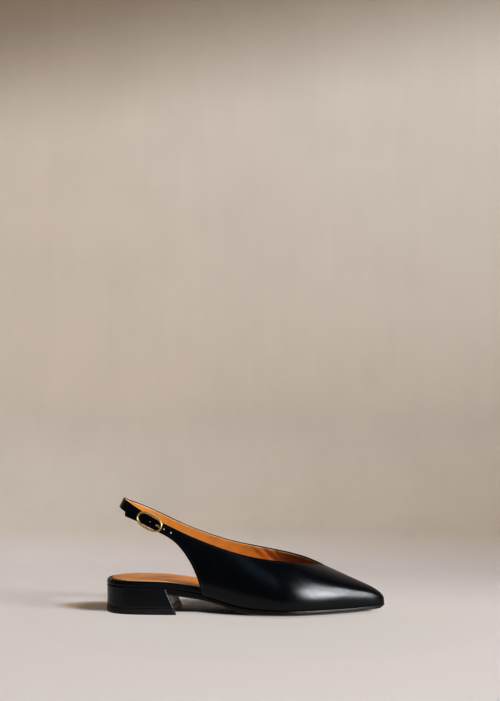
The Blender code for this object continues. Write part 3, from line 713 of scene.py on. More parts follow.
@dataclass(frozen=True)
class PaperSweep:
    """The pale paper that the shoe stands on and that rises behind it, clear when seen from behind.

    Its tones are painted light and shade in soft gradients over places in metres: x across, y to the back,
    z up. There is a painted shadow under the arch, a warm one behind the heel, and a faint cloth grain on the
    wall. In front of the shoe the paper glows though it is no lamp: painted light that lifts the dark shadow
    under the sole's edge.
    """

    name: str = "paper_sweep"
    floor: Colour = (0.8, 0.775, 0.785)
    # painted shade: the darker colour of the floor towards the back, more so on the right
    floor_back: Colour = (0.57, 0.535, 0.53)
    # painted shadow: a soft dark patch on the floor under the arch, and how strong it is
    arch_shade: PaintedShade = PaintedShade((-38.0, 28.0, 0.0), (46.0, 62.0, 40.0), BLACK)
    arch_share: float = 0.28
    # painted shadow: a warm brown patch where the heel's shadow falls on the floor
    heel_shade: PaintedShade = PaintedShade((-140.0, 22.0, 0.0), (46.0, 27.0, 40.0), (0.64, 0.53, 0.43))
    # painted light and shade on the wall: darker at its foot, paler at the upper right, darker at the lower
    # right and the top
    wall: Colour = (0.8, 0.73, 0.665)
    wall_foot: Colour = (0.722, 0.673, 0.622)
    wall_right: Colour = (0.825, 0.777, 0.73)
    low_right: Colour = (0.567, 0.5, 0.433)
    top: Colour = (0.355, 0.295, 0.235)
    # painted light: the paper glows in front of the shoe though it is no lamp, lifting the shadow under the
    # sole
    glow: Colour = (0.69, 0.645, 0.61)
    glow_share: float = 0.85
    # painted shade: how much the floor and the wall dim towards the right
    floor_dimming: Span = (0.0, 0.15)
    wall_dimming: Span = (0.0, 0.24)
    mottle: float = 0.035
    thread_share: float = 0.5
    cloud_mm: float = 75.0
    thread_mm: float = 14.0
    thread_stretch: Triple = (1.0, 1.0, 0.12)
    roughness: float = 0.85
    specular: float = 0.2
    bend_z: Span = (0.0, 0.03)
    foot_z: Span = (0.06, 0.19)
    low_z: Span = (0.035, 0.32)
    high_z: Span = (0.22, 0.5)
    top_z: Span = (0.52, 0.735)
    top_slope: float = -0.13
    right_x: Span = (-0.28, 0.34)
    wall_x: Span = (-0.33, 0.28)
    floor_x: Span = (-0.25, 0.25)
    back_y: Span = (0.05, 0.34)
    back_left_share: float = 0.15
    glow_middle: Span = (0.02, -0.02)
    glow_line_y: float = -0.022
    glow_bow: float = 4.0
    toe_x: Span = (0.02, 0.06)
    toe_line_y: Span = (-0.005, 0.06)
    glow_edge_y: Span = (-0.005, 0.003)
    glow_reach: Span = (0.016, 0.05)

    def material(self) -> Material:
        """Builds the finish.

        Returns:
            The material.
        """
        tree = ShaderTree(self.name)
        axes = tree.add("ShaderNodeSeparateXYZ", {"Vector": tree.coordinates}).outputs
        across, depth, height = axes["X"], axes["Y"], axes["Z"]
        floor, wall = self.floor_colour(tree, across, depth), self.wall_colour(tree, across, height)
        paper = tree.blend(tree.spread(height, 0.0, 1.0, self.bend_z), floor, wall)
        # painted light: the floor in front of the shoe glows, though it is no lamp
        lit = self.lit_front(tree, across, depth)
        tree.feed(tree.blend(lit, paper, BLACK), "Base Color")
        tree.feed(lit, "Emission Strength")
        tree.set(Roughness=self.roughness, Specular_IOR_Level=self.specular, Emission_Color=(*self.glow, 1.0))
        clear = tree.add("ShaderNodeBsdfTransparent", {}).outputs["BSDF"]
        behind = tree.add("ShaderNodeNewGeometry", {}).outputs["Backfacing"]
        mix = tree.add("ShaderNodeMixShader", {"Fac": behind, 1: tree.shader.outputs["BSDF"], 2: clear})
        tree.links.new(mix.outputs["Shader"], tree.nodes["Material Output"].inputs["Surface"])
        return tree.material

    def floor_colour(self, tree: ShaderTree, across: Socket, depth: Socket) -> Socket:
        """The floor's painted shade: darker to the back and to the right, with the two painted shadows.

        Args:
            tree: the paper's shader.
            across: the x coordinate.
            depth: the y coordinate.

        Returns:
            A colour socket.
        """
        # painted shade: darker to the back, more so on the right, and dimmer to the right
        to_right = tree.spread(across, self.back_left_share, 1.0, self.right_x)
        back = tree.times(to_right, tree.spread(depth, 0.0, 1.0, self.back_y))
        floor = tree.blend(back, self.floor, self.floor_back)
        floor = tree.blend(tree.spread(across, *self.floor_dimming, self.floor_x), floor, BLACK)
        # painted shadow: the floor darkens under the arch
        arch = tree.patch(self.arch_shade.middle, self.arch_shade.size)
        floor = tree.blend(tree.times(arch, self.arch_share), floor, self.arch_shade.colour)
        # painted shadow: the warm brown patch where the heel's shadow falls
        heel = tree.patch(self.heel_shade.middle, self.heel_shade.size)
        return tree.blend(heel, floor, self.heel_shade.colour)

    def wall_colour(self, tree: ShaderTree, across: Socket, height: Socket) -> Socket:
        """The wall's painted light and shade: paler upper right, darker at its foot, lower right and top.

        Args:
            tree: the paper's shader.
            across: the x coordinate.
            height: the z coordinate.

        Returns:
            A colour socket.
        """
        to_right = tree.spread(across, 0.0, 1.0, self.right_x)
        # painted light and shade: darker foot, paler upper right, darker lower right and top, dimmer to the
        # right
        wall = tree.blend(tree.spread(height, 0.0, 1.0, self.foot_z), self.wall_foot, self.wall)
        high_right = tree.times(to_right, tree.spread(height, 0.0, 1.0, self.high_z))
        wall = tree.blend(high_right, wall, self.wall_right)
        low = tree.spread(height, 1.0, 0.0, self.low_z)
        wall = tree.blend(tree.times(to_right, tree.times(low, low)), wall, self.low_right)
        sloping = tree.plus(height, tree.times(across, self.top_slope))
        wall = tree.blend(tree.spread(sloping, 0.0, 1.0, self.top_z, Ease.SMOOTHSTEP), wall, self.top)
        wall = tree.blend(tree.spread(across, *self.wall_dimming, self.wall_x), wall, BLACK)
        clouds = tree.spread(tree.noise(self.cloud_mm, Grain.FINE), 0.0, self.mottle)
        threads = tree.noise(self.thread_mm, Grain.ROUGH, self.thread_stretch)
        threads = tree.spread(threads, 0.0, self.mottle * self.thread_share)
        return tree.blend(tree.plus(clouds, threads), wall, BLACK)

    def lit_front(self, tree: ShaderTree, across: Socket, depth: Socket) -> Socket:
        """The painted glow's share: the floor ahead of a bowed line under the shoe, fading out away from it.

        Args:
            tree: the paper's shader.
            across: the x coordinate.
            depth: the y coordinate.

        Returns:
            A socket from 0 to the full share.
        """
        aside, off = (tree.plus(a, -m) for a, m in zip((across, depth), self.glow_middle))
        bow = tree.plus(tree.times(tree.times(aside, aside), self.glow_bow), self.glow_line_y)
        line = tree.maths(Maths.MINIMUM, bow, tree.spread(across, *self.toe_line_y, self.toe_x))
        ahead = tree.maths(Maths.SUBTRACT, depth, line)
        front = tree.spread(ahead, self.glow_share, 0.0, self.glow_edge_y, Ease.SMOOTHSTEP)
        reach = tree.plus(tree.times(aside, aside), tree.times(off, off))
        return tree.times(front, tree.spread(reach, 1.0, 0.0, self.glow_reach))


GLOSSY_BLACK = SmoothLeather(
    name="glossy_black_leather",
    colour=(0.0042, 0.0056, 0.0096),
    shade=(0.003, 0.004, 0.0066),
    edge=(0.012, 0.012, 0.014),
    roughness=(0.2, 0.26),
    specular=0.35,
    sheen_tint=(0.94, 0.97, 1.0),
    uneven_relief=0.06,
)
RIM_BLACK = SmoothLeather(
    name="rim_black_leather",
    colour=(0.008, 0.009, 0.011),
    shade=(0.006, 0.006, 0.008),
    edge=(0.012, 0.012, 0.014),
    roughness=(0.24, 0.32),
    specular=0.4,
    sheen_tint=(0.96, 0.97, 1.0),
)
SATIN_BLACK = SmoothLeather(
    name="satin_heel_leather",
    colour=(0.0165, 0.0182, 0.0202),
    shade=(0.0138, 0.0153, 0.0174),
    edge=(0.02, 0.02, 0.021),
    roughness=(0.14, 0.2),
    specular=0.4,
    sheen_tint=(0.96, 0.97, 1.0),
    pore_relief=0.2,
)
TAN_LINING = SmoothLeather(
    name="tan_lining_leather",
    colour=(0.91, 0.44, 0.1),
    shade=(0.79, 0.352, 0.074),
    edge=(0.85, 0.56, 0.28),
    roughness=(0.42, 0.55),
    mottle_mm=13.0,
    pore_relief=0.25,
    uneven_relief=0.15,
    # painted shade: the lining darkens towards the toe, where the vamp shades it
    painted_shade=PaintedShade((76.0, 20.0, 35.0), (55.0, 120.0, 120.0), (0.36, 0.19, 0.13)),
)
TAN_SOCK = SmoothLeather(
    name="tan_sock_leather",
    colour=(0.72, 0.335, 0.1),
    shade=(0.61, 0.265, 0.07),
    edge=(0.85, 0.6, 0.34),
    roughness=(0.4, 0.52),
    pore_relief=0.22,
    uneven_relief=0.12,
    # painted shade: a streaky darker patch on the sock near the heel, where the quarters shade it
    painted_shade=PaintedShade((-76.0, 4.0, 30.0), (21.0, 7.0, 30.0), (0.42, 0.16, 0.045), streaky=True),
)
SCUFFS = Blotches(3.0, Grain.SCUFFED, stretch=(0.25, 1.0, 1.0), span=(0.45, 0.75))
SATIN = Blotches(4.0, Grain.ROUGH)
RUBBER_RELIEF = (Blotches(0.4, Grain.SOFT), 0.15, 0.05)
SOLE_EDGE = PlainFinish(
    name="sole_black_rubber",
    colour=(0.007, 0.0065, 0.0065),
    second=(0.022, 0.018, 0.015),
    tones=SCUFFS,
    sheen=SATIN,
    roughness=(0.3, 0.42),
    relief=RUBBER_RELIEF,
    specular=0.36,
)
LIFT_PIECE = replace(
    SOLE_EDGE,
    name="lift_rubber",
    colour=(0.0205, 0.0192, 0.0245),
    second=(0.036, 0.034, 0.041),
    roughness=(0.38, 0.5),
    specular=0.28,
)
GOLD = PlainFinish(
    name="gold_plating",
    colour=(0.84, 0.63, 0.27),
    second=(0.93, 0.74, 0.36),
    tones=Blotches(2.5, Grain.ROUGH),
    sheen=Blotches(0.7, Grain.FINE),
    roughness=(0.2, 0.32),
    relief=(Blotches(0.35, Grain.SMOOTH), 0.05, 0.02),
    metallic=0.65,
)
BLACK_THREAD = PlainFinish(
    name="black_thread",
    colour=(0.012, 0.012, 0.014),
    second=(0.03, 0.03, 0.033),
    tones=Blotches(0.3, Grain.SOFT),
    sheen=Blotches(0.5, Grain.SOFT),
    roughness=(0.35, 0.55),
)


def finish_piece(obj: Object, slot: Slot, *nodes: str) -> None:
    """Ties a finished piece to the frame and reports it.

    Args:
        obj: the piece, in place.
        slot: not used.
        nodes: the CAD nodes that it stands for.
    """
    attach(obj, ROOT)
    if nodes:
        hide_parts(*nodes)
    log.info("%s: %d faces", obj.name, len(obj.data.polygons))


def hang(name: str, data: bpy.types.ID) -> Object:
    """Puts a mesh, curve, light or camera in the scene.

    Args:
        name: the object's name.
        data: what it shows.

    Returns:
        The object.
    """
    obj = bpy.data.objects.new(name, data)
    bpy.context.scene.collection.objects.link(obj)
    return obj


def add_object(
    name: str, mesh: Mesh, material: Material | None = None, sharp: float = SOFT_ANGLE
) -> Object:
    """Puts a mesh in the scene, smooth but for its sharp edges.

    Args:
        name: the object's name.
        mesh: its mesh.
        material: its finish, if it has one yet.
        sharp: the angle in degrees from which an edge is sharp.

    Returns:
        The object.
    """
    obj = hang(name, mesh)
    mesh.materials.clear()
    if material:
        mesh.materials.append(material)
    mesh.shade_smooth()
    mesh.set_sharp_from_angle(angle=math.radians(sharp))
    return obj


def plain_mesh(obj: Object) -> Mesh:
    """The object as it looks with its modifiers, as a new mesh."""
    bpy.context.view_layer.update()
    return bpy.data.meshes.new_from_object(obj.evaluated_get(bpy.context.evaluated_depsgraph_get()))


def settle(obj: Object) -> None:
    """Turns an object's modifiers into its own mesh.

    Args:
        obj: the object.
    """
    mesh = plain_mesh(obj)
    obj.modifiers.clear()
    obj.data = mesh


def weld(bm: BMesh) -> None:
    """Merges doubles and takes out what they leave without a size."""
    bmesh.ops.remove_doubles(bm, verts=bm.verts, dist=WELD)
    bmesh.ops.dissolve_degenerate(bm, edges=bm.edges, dist=WELD)


def mesh_of(name: str, bm: BMesh) -> Mesh:
    """Welds a closed shape, turns its faces outwards and lets go of it.

    Args:
        name: the mesh's name.
        bm: the shape.

    Returns:
        The shape as a mesh.
    """
    weld(bm)
    bmesh.ops.recalc_face_normals(bm, faces=bm.faces)
    mesh = bpy.data.meshes.new(name)
    bm.to_mesh(mesh)
    bm.free()
    return mesh


def mark_edge(mesh: Mesh, values: Sequence[float]) -> None:
    """Stores how much of a cut edge each point is, for the finish."""
    layer = mesh.attributes.new(CUT_EDGE, "FLOAT", "POINT")
    layer.data.foreach_set("value", list(values))


def oriented(origin: Point, direction: Point, outward: Point) -> Matrix:
    """The place and turn of a block, in metres.

    Args:
        origin: its middle.
        direction: the way of its local x.
        outward: the way of its local z.

    Returns:
        The matrix.
    """
    columns = [direction, np.cross(outward, direction), outward]
    matrix = Matrix([[columns[c][r] for c in range(3)] for r in range(3)]).to_4x4()
    matrix.translation = Vector(place(origin))
    return matrix


class Joining(Enum):
    """What a Boolean does, with the solver that suits it."""

    DIFFERENCE = "MANIFOLD"
    UNION = "EXACT"


def join(obj: Object, other: Object, joining: Joining) -> None:
    """Cuts one shape out of another for good, or adds it.

    Args:
        obj: the shape that stays.
        other: the shape that is cut out or added.
        joining: which of the two.
    """
    boolean = obj.modifiers.new(other.name, "BOOLEAN")
    boolean.operation, boolean.solver = joining.name, joining.value
    boolean.object = other
    settle(obj)


class NodeGroup(NodeBuilder):
    """A Geometry Nodes tree with named inputs."""

    def __init__(self, name: str, sizes: Sequence[str], finish: str | None = None) -> None:
        """Makes the tree with a geometry input and output.

        Args:
            name: the tree's name.
            sizes: the names of its number inputs.
            finish: the name of its material input, if it has one.
        """
        super().__init__(bpy.data.node_groups.new(name, "GeometryNodeTree"))
        self.sockets: dict[str, str] = {}
        self.socket("Geometry", "NodeSocketGeometry")
        self.tree.interface.new_socket("Geometry", in_out="OUTPUT", socket_type="NodeSocketGeometry")
        for size in sizes:
            self.socket(size, "NodeSocketFloat")
        if finish:
            self.socket(finish, "NodeSocketMaterial")
        self.given = self.add("NodeGroupInput", {}).outputs

    def socket(self, name: str, kind: str) -> None:
        """Adds a named input."""
        made = self.tree.interface.new_socket(name, socket_type=kind)
        self.sockets[name] = made.identifier

    def run(self, obj: Object, values: dict[str, object]) -> None:
        """Runs the tree on an object and keeps the result as its mesh.

        Args:
            obj: the object whose mesh feeds the tree.
            values: the inputs by name.
        """
        modifier = obj.modifiers.new(self.tree.name, "NODES")
        modifier.node_group = self.tree
        for name, value in values.items():
            modifier[self.sockets[name]] = value
        settle(obj)


class StitchRow(NodeGroup):
    """Lays a stitch at even distances along each line of a mesh."""

    SEGMENTS = 8
    RINGS = 5
    UNIT_RADIUS = 0.5
    SHORTEST, LONGEST = 0.9, 1.05
    SEED = 7
    RANDOM_LOW, RANDOM_HIGH, RANDOM_RESULT = 2, 3, 1

    def __init__(self) -> None:
        """Builds the tree."""
        super().__init__("stitch_row", ("Pitch", "Stitch Length", "Thread Width"), "Thread")
        given, width = self.given, self.given["Thread Width"]
        line = self.add("GeometryNodeMeshToCurve", {"Mesh": given["Geometry"]}).outputs["Curve"]
        even = self.add("GeometryNodeResampleCurve", {"Curve": line, "Length": given["Pitch"]}, mode="LENGTH")
        tangent = self.add("GeometryNodeInputTangent", {}).outputs["Tangent"]
        turned = self.add("FunctionNodeAlignRotationToVector", {"Vector": tangent}, axis="X")
        ball = {"Segments": self.SEGMENTS, "Rings": self.RINGS, "Radius": self.UNIT_RADIUS}
        stitch = self.add("GeometryNodeMeshUVSphere", ball)
        limits = {self.RANDOM_LOW: self.SHORTEST, self.RANDOM_HIGH: self.LONGEST, "Seed": self.SEED}
        wear = self.add("FunctionNodeRandomValue", limits, data_type="FLOAT").outputs[self.RANDOM_RESULT]
        length = self.add("ShaderNodeMath", {0: given["Stitch Length"], 1: wear}, operation="MULTIPLY")
        size = self.add("ShaderNodeCombineXYZ", {"X": length.outputs["Value"], "Y": width, "Z": width})
        stitches = {
            "Points": even.outputs["Curve"],
            "Instance": stitch.outputs["Mesh"],
            "Rotation": turned.outputs["Rotation"],
            "Scale": size.outputs["Vector"],
        }
        laid = self.add("GeometryNodeInstanceOnPoints", stitches).outputs["Instances"]
        real = self.add("GeometryNodeRealizeInstances", {"Geometry": laid}).outputs["Geometry"]
        dressed = self.add("GeometryNodeSetMaterial", {"Geometry": real, "Material": given["Thread"]})
        self.add("NodeGroupOutput", {"Geometry": dressed.outputs["Geometry"]})


class PunchRow(NodeGroup):
    """Stands a round punch on each point of a mesh, along the point's axis attribute."""

    SIDES = 24

    def __init__(self) -> None:
        """Builds the tree."""
        super().__init__("punch_row", ("Radius", "Depth"))
        given = self.given
        round_bar = {"Vertices": self.SIDES, "Radius": given["Radius"], "Depth": given["Depth"]}
        punch = self.add("GeometryNodeMeshCylinder", round_bar)
        axis = self.add("GeometryNodeInputNamedAttribute", {"Name": "axis"}, data_type="FLOAT_VECTOR")
        vector = {"Vector": axis.outputs["Attribute"]}
        turned = self.add("FunctionNodeAlignRotationToVector", vector, axis="Z")
        punches = {
            "Points": given["Geometry"],
            "Instance": punch.outputs["Mesh"],
            "Rotation": turned.outputs["Rotation"],
        }
        laid = self.add("GeometryNodeInstanceOnPoints", punches).outputs["Instances"]
        real = self.add("GeometryNodeRealizeInstances", {"Geometry": laid}).outputs["Geometry"]
        self.add("NodeGroupOutput", {"Geometry": real})


class LeatherLayer:
    """A layer of leather laid over panels of ribs, with a rounded rim."""

    RIM_STEPS = 6
    FULL_SHARE = 0.995

    def __init__(self, panels: Sequence[Sequence[Rib]]) -> None:
        """Welds the panels to one skin.

        Args:
            panels: each a row of ribs with the same number of points.
        """
        bm = bmesh.new()
        share_layer = bm.verts.layers.float.new("share")
        sole_layer = bm.verts.layers.float.new("sole")
        for ribs in panels:
            rows = []
            for rib in ribs:
                row = [bm.verts.new(place(p)) for p in rib.points]
                for vert in row:
                    vert[share_layer] = rib.share
                row[0][sole_layer] = float(rib.on_sole)
                rows.append(row)
            for back, front in zip(rows, rows[1:]):
                for j in range(len(back) - 1):
                    bm.faces.new((back[j], front[j], front[j + 1], back[j + 1]))
        weld(bm)
        bm.normal_update()
        bm.verts.index_update()
        bm.verts.ensure_lookup_table()
        self.points = np.array([v.co[:] for v in bm.verts])
        self.normals = np.array([v.normal[:] for v in bm.verts])
        self.shares = np.array([v[share_layer] for v in bm.verts])
        self.sole = np.array([v[sole_layer] > 0.5 for v in bm.verts])
        self.faces = [[v.index for v in f.verts] for f in bm.faces]
        self.tree = BVHTree.FromBMesh(bm)
        self.rim: dict[int, int] = {}
        self.outward = np.zeros_like(self.points)
        for face in bm.faces:
            for loop in face.loops:
                if loop.edge.is_boundary:
                    self._add_rim(loop)
        lengths = np.linalg.norm(self.outward, axis=1, keepdims=True)
        self.outward /= np.where(lengths > 0, lengths, 1)
        bm.free()

    def _add_rim(self, loop: BMLoop) -> None:
        """Notes one edge of the rim and the way out of the skin there.

        Args:
            loop: the edge, as its face runs along it.
        """
        a, b = loop.vert, loop.link_loop_next.vert
        self.rim[a.index] = b.index
        out = np.array((b.co - a.co).normalized().cross(loop.face.normal))
        for vert in (a, b):
            self.outward[vert.index] += out

    def mesh(self, name: str, start: float, end: float, bulge: float, sole_bulge: float) -> Mesh:
        """The layer as a closed mesh.

        Args:
            name: the mesh's name.
            start: depth of its outer face under the skin.
            end: depth of its inner face.
            bulge: how far its rim is rounded out.
            sole_bulge: the same along the sole.

        Returns:
            The mesh, with its edge attribute.
        """
        count = len(self.points)
        start_m, end_m = start * MM * self.shares, end * MM * self.shares
        outer = self.points - self.normals * start_m[:, None]
        inner = self.points - self.normals * end_m[:, None]
        verts = [*outer, *inner]
        faces = self.faces + [[i + count for i in f[::-1]] for f in self.faces]
        edge = [0.0] * (2 * count)
        rings: dict[int, list[int]] = {}
        for i in self.rim:
            middle, half = (outer[i] + inner[i]) / 2, (outer[i] - inner[i]) / 2
            reach = (sole_bulge if self.sole[i] else bulge) * MM * self.shares[i]
            ring = [i]
            for turn in np.linspace(0, math.pi, self.RIM_STEPS + 1)[1:-1]:
                ring.append(len(verts))
                verts.append(middle + half * math.cos(turn) + self.outward[i] * reach * math.sin(turn))
                edge.append(1.0)
            rings[i] = ring + [i + count]
        for a, b in self.rim.items():
            for k in range(self.RIM_STEPS):
                faces.append([rings[b][k], rings[a][k], rings[a][k + 1], rings[b][k + 1]])
        mesh = bpy.data.meshes.new(name)
        mesh.from_pydata([tuple(v) for v in verts], [], faces)
        mesh.update()
        mark_edge(mesh, edge)
        return mesh

    def stitch_lines(self, inset: float, proud: float) -> list[list[Vector]]:
        """Lines at a distance inside the rim, away from the sole and from the thin fold of the sling.

        Args:
            inset: distance from the rim.
            proud: how far the line lies above the skin.

        Returns:
            The lines, as points in metres.
        """
        first = next(i for i in self.rim if self.sole[i] and not self.sole[self.rim[i]])
        lines: list[list[Vector]] = [[]]
        i = self.rim[first]
        while i != first:
            if self.sole[i] or self.shares[i] < self.FULL_SHARE:
                if lines[-1]:
                    lines.append([])
            else:
                at = Vector(self.points[i] - self.outward[i] * inset * MM)
                spot, normal, _, _ = self.tree.find_nearest(at)
                lines[-1].append(spot + normal * proud * MM)
            i = self.rim[i]
        return [line for line in lines if len(line) > 2]


@dataclass
class UpperAssembly:
    """The black outer leather with its sling and tail, the tan lining under it, and the edge stitching.

    Places along the strap are measured from the back of its loop. The wider and drop turns are angles round
    the loop, the widens and foot trims are shares of the quarter's back edge from the strap down.
    """

    TAIL_STEP = 0.5
    FRAME_STEP = 0.05
    ROUGH_POINTS = 5
    NO_LENGTH = 1e-6

    last: Last
    wall: float = 2.0
    outer: float = 1.15
    lining_from: float = 1.2
    rim_bulge: float = 0.42
    sole_bulge: float = 0.15
    lining_bulge: float = 0.75
    lining_drawn_in: float = 1.0
    top_inset: float = 0.0
    sharp: float = 50.0
    rows: int = 30
    tail_ribs: int = 36
    quarter_ribs: int = 34
    side_ribs: int = 50
    vamp_ribs: int = 44
    loop_ribs: int = 36
    sling_ribs: int = 26
    eye_ribs: int = 16
    fold_ribs: int = 14
    quarter_foot: float = 92.5
    quarter_top: float = 88.0
    foot_trims: Span = (0.8, 1.0)
    throat_trims: Span = (5.0, 0.5)
    tail_straight: float = 17.0
    tail_tip: Span = (10.5, 6.6)
    tail_drop: float = 3.3
    tail_curve: float = 1.5
    medial_top_drop: float = 1.5
    medial_wider: float = 3.2
    quarter_widens: Span = (0.0, 0.45)
    wider_turn: Span = (0.5, 1.3)
    drop_turn: Span = (0.0, 0.5)
    buckle_at: float = 34.1
    bar_at: float = 31.9
    bar_radius: float = 0.9
    prong_radius: float = 0.6
    eye_leather: float = 1.0
    eye_width: float = 8.2
    eye_narrows: Span = (14.0, 4.0)
    fold_back: float = 14.0
    fold_close: float = 6.0
    hole_pitch: float = 7.25
    hole_radius: float = 0.85
    first_hole: float = 27.2
    hole_count: int = 5
    prong_hole: int = 2
    notch_play: float = 0.2
    notch_ahead: float = 0.2
    notch_longer: float = 2.8
    slot_length: float = 3.0
    stitch_inset: float = 1.7
    stitch_pitch: float = 2.1
    stitch_length: float = 1.7
    thread_width: float = 0.34
    thread_proud: float = 0.1
    crease_level: float = 49.5
    crease_side: float = 5.0
    crease_rises: Span = (28.0, 40.0)
    crease_top: Span = (0.5, 3.0)
    creases: tuple[Crease, ...] = (
        Crease(140.8, 1.1, -0.15),
        Crease(143.9, 1.4, 0.9),
        Crease(151.2, 1.3, -1.1),
        Crease(154.7, 1.2, 1.3),
        Crease(159.5, 1.8, -0.9),
    )

    def rib(self, low: Span, high: Span, side: Side, trim: Span = (0.0, 0.0), on_sole: bool = False) -> Rib:
        """Points on the last between two places.

        Args:
            low: (x, turn) of the lower end.
            high: (x, turn) of the upper end.
            side: which half of the last.
            trim: lengths taken off at the lower and the upper end.
            on_sole: whether the lower end sits on the sole.

        Returns:
            The rib, at the full wall.
        """
        start, way = np.array(low), np.array(high) - np.array(low)
        ends = (0.0, 1.0)
        if any(trim):
            shares = np.linspace(0, 1, self.ROUGH_POINTS)
            rough = [self.last.point(*(start + way * s), side) for s in shares]
            length = max(arc_length(rough)[-1], self.NO_LENGTH)
            ends = (trim[0] / length, 1 - trim[1] / length)
        shares = np.linspace(*ends, self.rows + 1)
        return Rib([self.last.point(*(start + way * s), side) for s in shares], 1.0, on_sole)

    def quarter_edge(self) -> Callable[[float], Span]:
        """The quarter's back edge.

        Returns:
            Its (x, z) as a function of a share, from 0 at the strap to 1 at the sole.
        """
        rows = [*QUARTER_EDGE, (self.quarter_foot, self.last.feather(self.quarter_foot))]
        run = arc_length(rows)
        run = run / run[-1]
        curve_x, curve_z = (Spline(run, [r[k] for r in rows]) for k in (0, 1))
        return lambda share: (curve_x(share), curve_z(share))

    def strap_ends(self, along: float, low_drop: float = 0.0, top_drop: float = 0.0) -> list[Span]:
        """The strap's two edges.

        Args:
            along: place along the strap.
            low_drop: how far the lower edge is lowered.
            top_drop: how far the upper edge is lowered.

        Returns:
            The (x, turn) places of both.
        """
        reach = self.last.strap_width / 2 - self.rim_bulge
        ends = []
        for h in (-reach - low_drop, reach - top_drop - self.top_inset):
            x, z = self.last.strap_point(along, h)
            ends.append((x, self.last.turn_at(x, z)))
        return ends

    def strap_rib(self, along: float, side: Side, low_drop: float = 0.0, top_drop: float = 0.0) -> Rib:
        """A rib straight across the strap."""
        return self.rib(*self.strap_ends(along, low_drop, top_drop), side)

    def strap_row(self, along: float, drop: float, row: int) -> Point:
        """One point of a lateral rib across the strap."""
        low, high = (np.array(e) for e in self.strap_ends(along, drop, drop))
        return self.last.point(*(low + (high - low) * row / self.rows), Side.LATERAL)

    def joint(self) -> float:
        """How far along the strap's plane the quarters begin."""
        return self.last.strap_coordinates(*QUARTER_EDGE[0])[0]

    def inside(self) -> float:
        """How far the sling lies inside the face of the strap's end."""
        return self.wall + self.last.joint_gap

    def make_quarter(self, side: Side) -> list[Rib]:
        """One side from the strap to the throat point.

        Args:
            side: which half.

        Returns:
            The ribs, from the back.
        """
        last, edge, ribs = self.last, self.quarter_edge(), []
        first_top, top_trim = TOPLINE[0].x, self.rim_bulge + self.top_inset
        for share in np.linspace(0, 1, self.quarter_ribs + 1):
            low_x, low_z = edge(share)
            if side is Side.MEDIAL:
                wider = self.medial_wider / last.strap_cos
                low_z -= wider * (1 - smooth_step(share, *self.quarter_widens))
            high_x = first_top + (self.quarter_top - first_top) * share
            low_trim = self.rim_bulge * (1 - smooth_step(share, *self.foot_trims))
            low, high = (low_x, last.turn_at(low_x, low_z)), (high_x, last.topline_turn(high_x, side))
            ribs.append(self.rib(low, high, side, (low_trim, top_trim), share == 1.0))
        throat = [last.throat_point - before for before in self.throat_trims]
        for share in np.linspace(0, 1, self.side_ribs + 1)[1:]:
            low_x = self.quarter_foot + (last.throat_point - self.quarter_foot) * share
            high_x = self.quarter_top + (last.throat_point - self.quarter_top) * share
            trim = top_trim * (1 - smooth_step(high_x, *throat))
            high = (high_x, last.topline_turn(high_x, side))
            ribs.append(self.rib((low_x, 0.0), high, side, (0.0, trim), True))
        return ribs

    def make_vamp(self, side: Side) -> list[Rib]:
        """Half sections of the vamp, from the throat point to the toe's tip."""
        us = np.linspace(self.last.rounded(self.last.throat_point), 1, self.vamp_ribs + 1)[1:]
        return [self.rib((x, 0.0), (x, 1.0), side, on_sole=True) for x in map(self.last.station, us)]

    def make_tail(self) -> list[Rib]:
        """The outer strap's end: behind the buckle it leaves the loop on a straight line and drops a little.

        Returns:
            The ribs, from its tip to the quarter.
        """
        ribs = []
        for share in np.linspace(0, 1, self.tail_ribs + 1)[:-1]:
            low, high = (tip + (self.joint() - tip) * share for tip in self.tail_tip)
            points = []
            for row in range(self.rows + 1):
                along = low + (high - low) * row / self.rows
                fall = max(0.0, (self.buckle_at - along) / (self.buckle_at - self.tail_tip[1]))
                drop = self.tail_drop * fall**self.tail_curve
                on_loop = max(along, self.tail_straight)
                point = self.strap_row(on_loop, drop, row)
                if along < self.tail_straight:
                    ahead = self.strap_row(on_loop + self.TAIL_STEP, drop, row)
                    point = point + (point - ahead) * (self.tail_straight - along) / self.TAIL_STEP
                points.append(point)
            ribs.append(Rib(points, 1.0, False))
        return ribs

    def lateral_frame(self, along: float, depth: float) -> Frame:
        """A place in the lateral side of the strap.

        Args:
            along: place along the strap.
            depth: how far inside the strap's face.

        Returns:
            The point, the direction along the strap and the way outward.
        """
        middle = self.rows // 2
        here, ahead = (self.strap_row(a, 0.0, middle) for a in (along, along + self.FRAME_STEP))
        across = self.last.across()
        direction = unit((ahead - here) - across * np.dot(ahead - here, across))
        outward = np.cross(across, direction)
        outward *= -np.sign(outward[1])
        return here - outward * depth, direction, outward

    def make_sling(self) -> list[Rib]:
        """The inner strap from the medial quarter round the heel to the buckle's bar and back on itself."""
        return self.sling_loop() + self.sling_strap() + self.sling_eye()

    def sling_loop(self) -> list[Rib]:
        """The sling on the medial side.

        Returns:
            The ribs, from the quarter to the back of the loop.
        """
        loop, ribs = self.last.strap_loop, []
        for angle in np.linspace(math.acos(1 - self.joint() / loop), 0, self.loop_ribs + 1)[1:-1]:
            wider = self.medial_wider * smooth_step(angle, *self.wider_turn)
            drop = self.medial_top_drop * smooth_step(angle, *self.drop_turn)
            ribs.append(self.strap_rib(loop * (1 - math.cos(angle)), Side.MEDIAL, wider, drop))
        return ribs

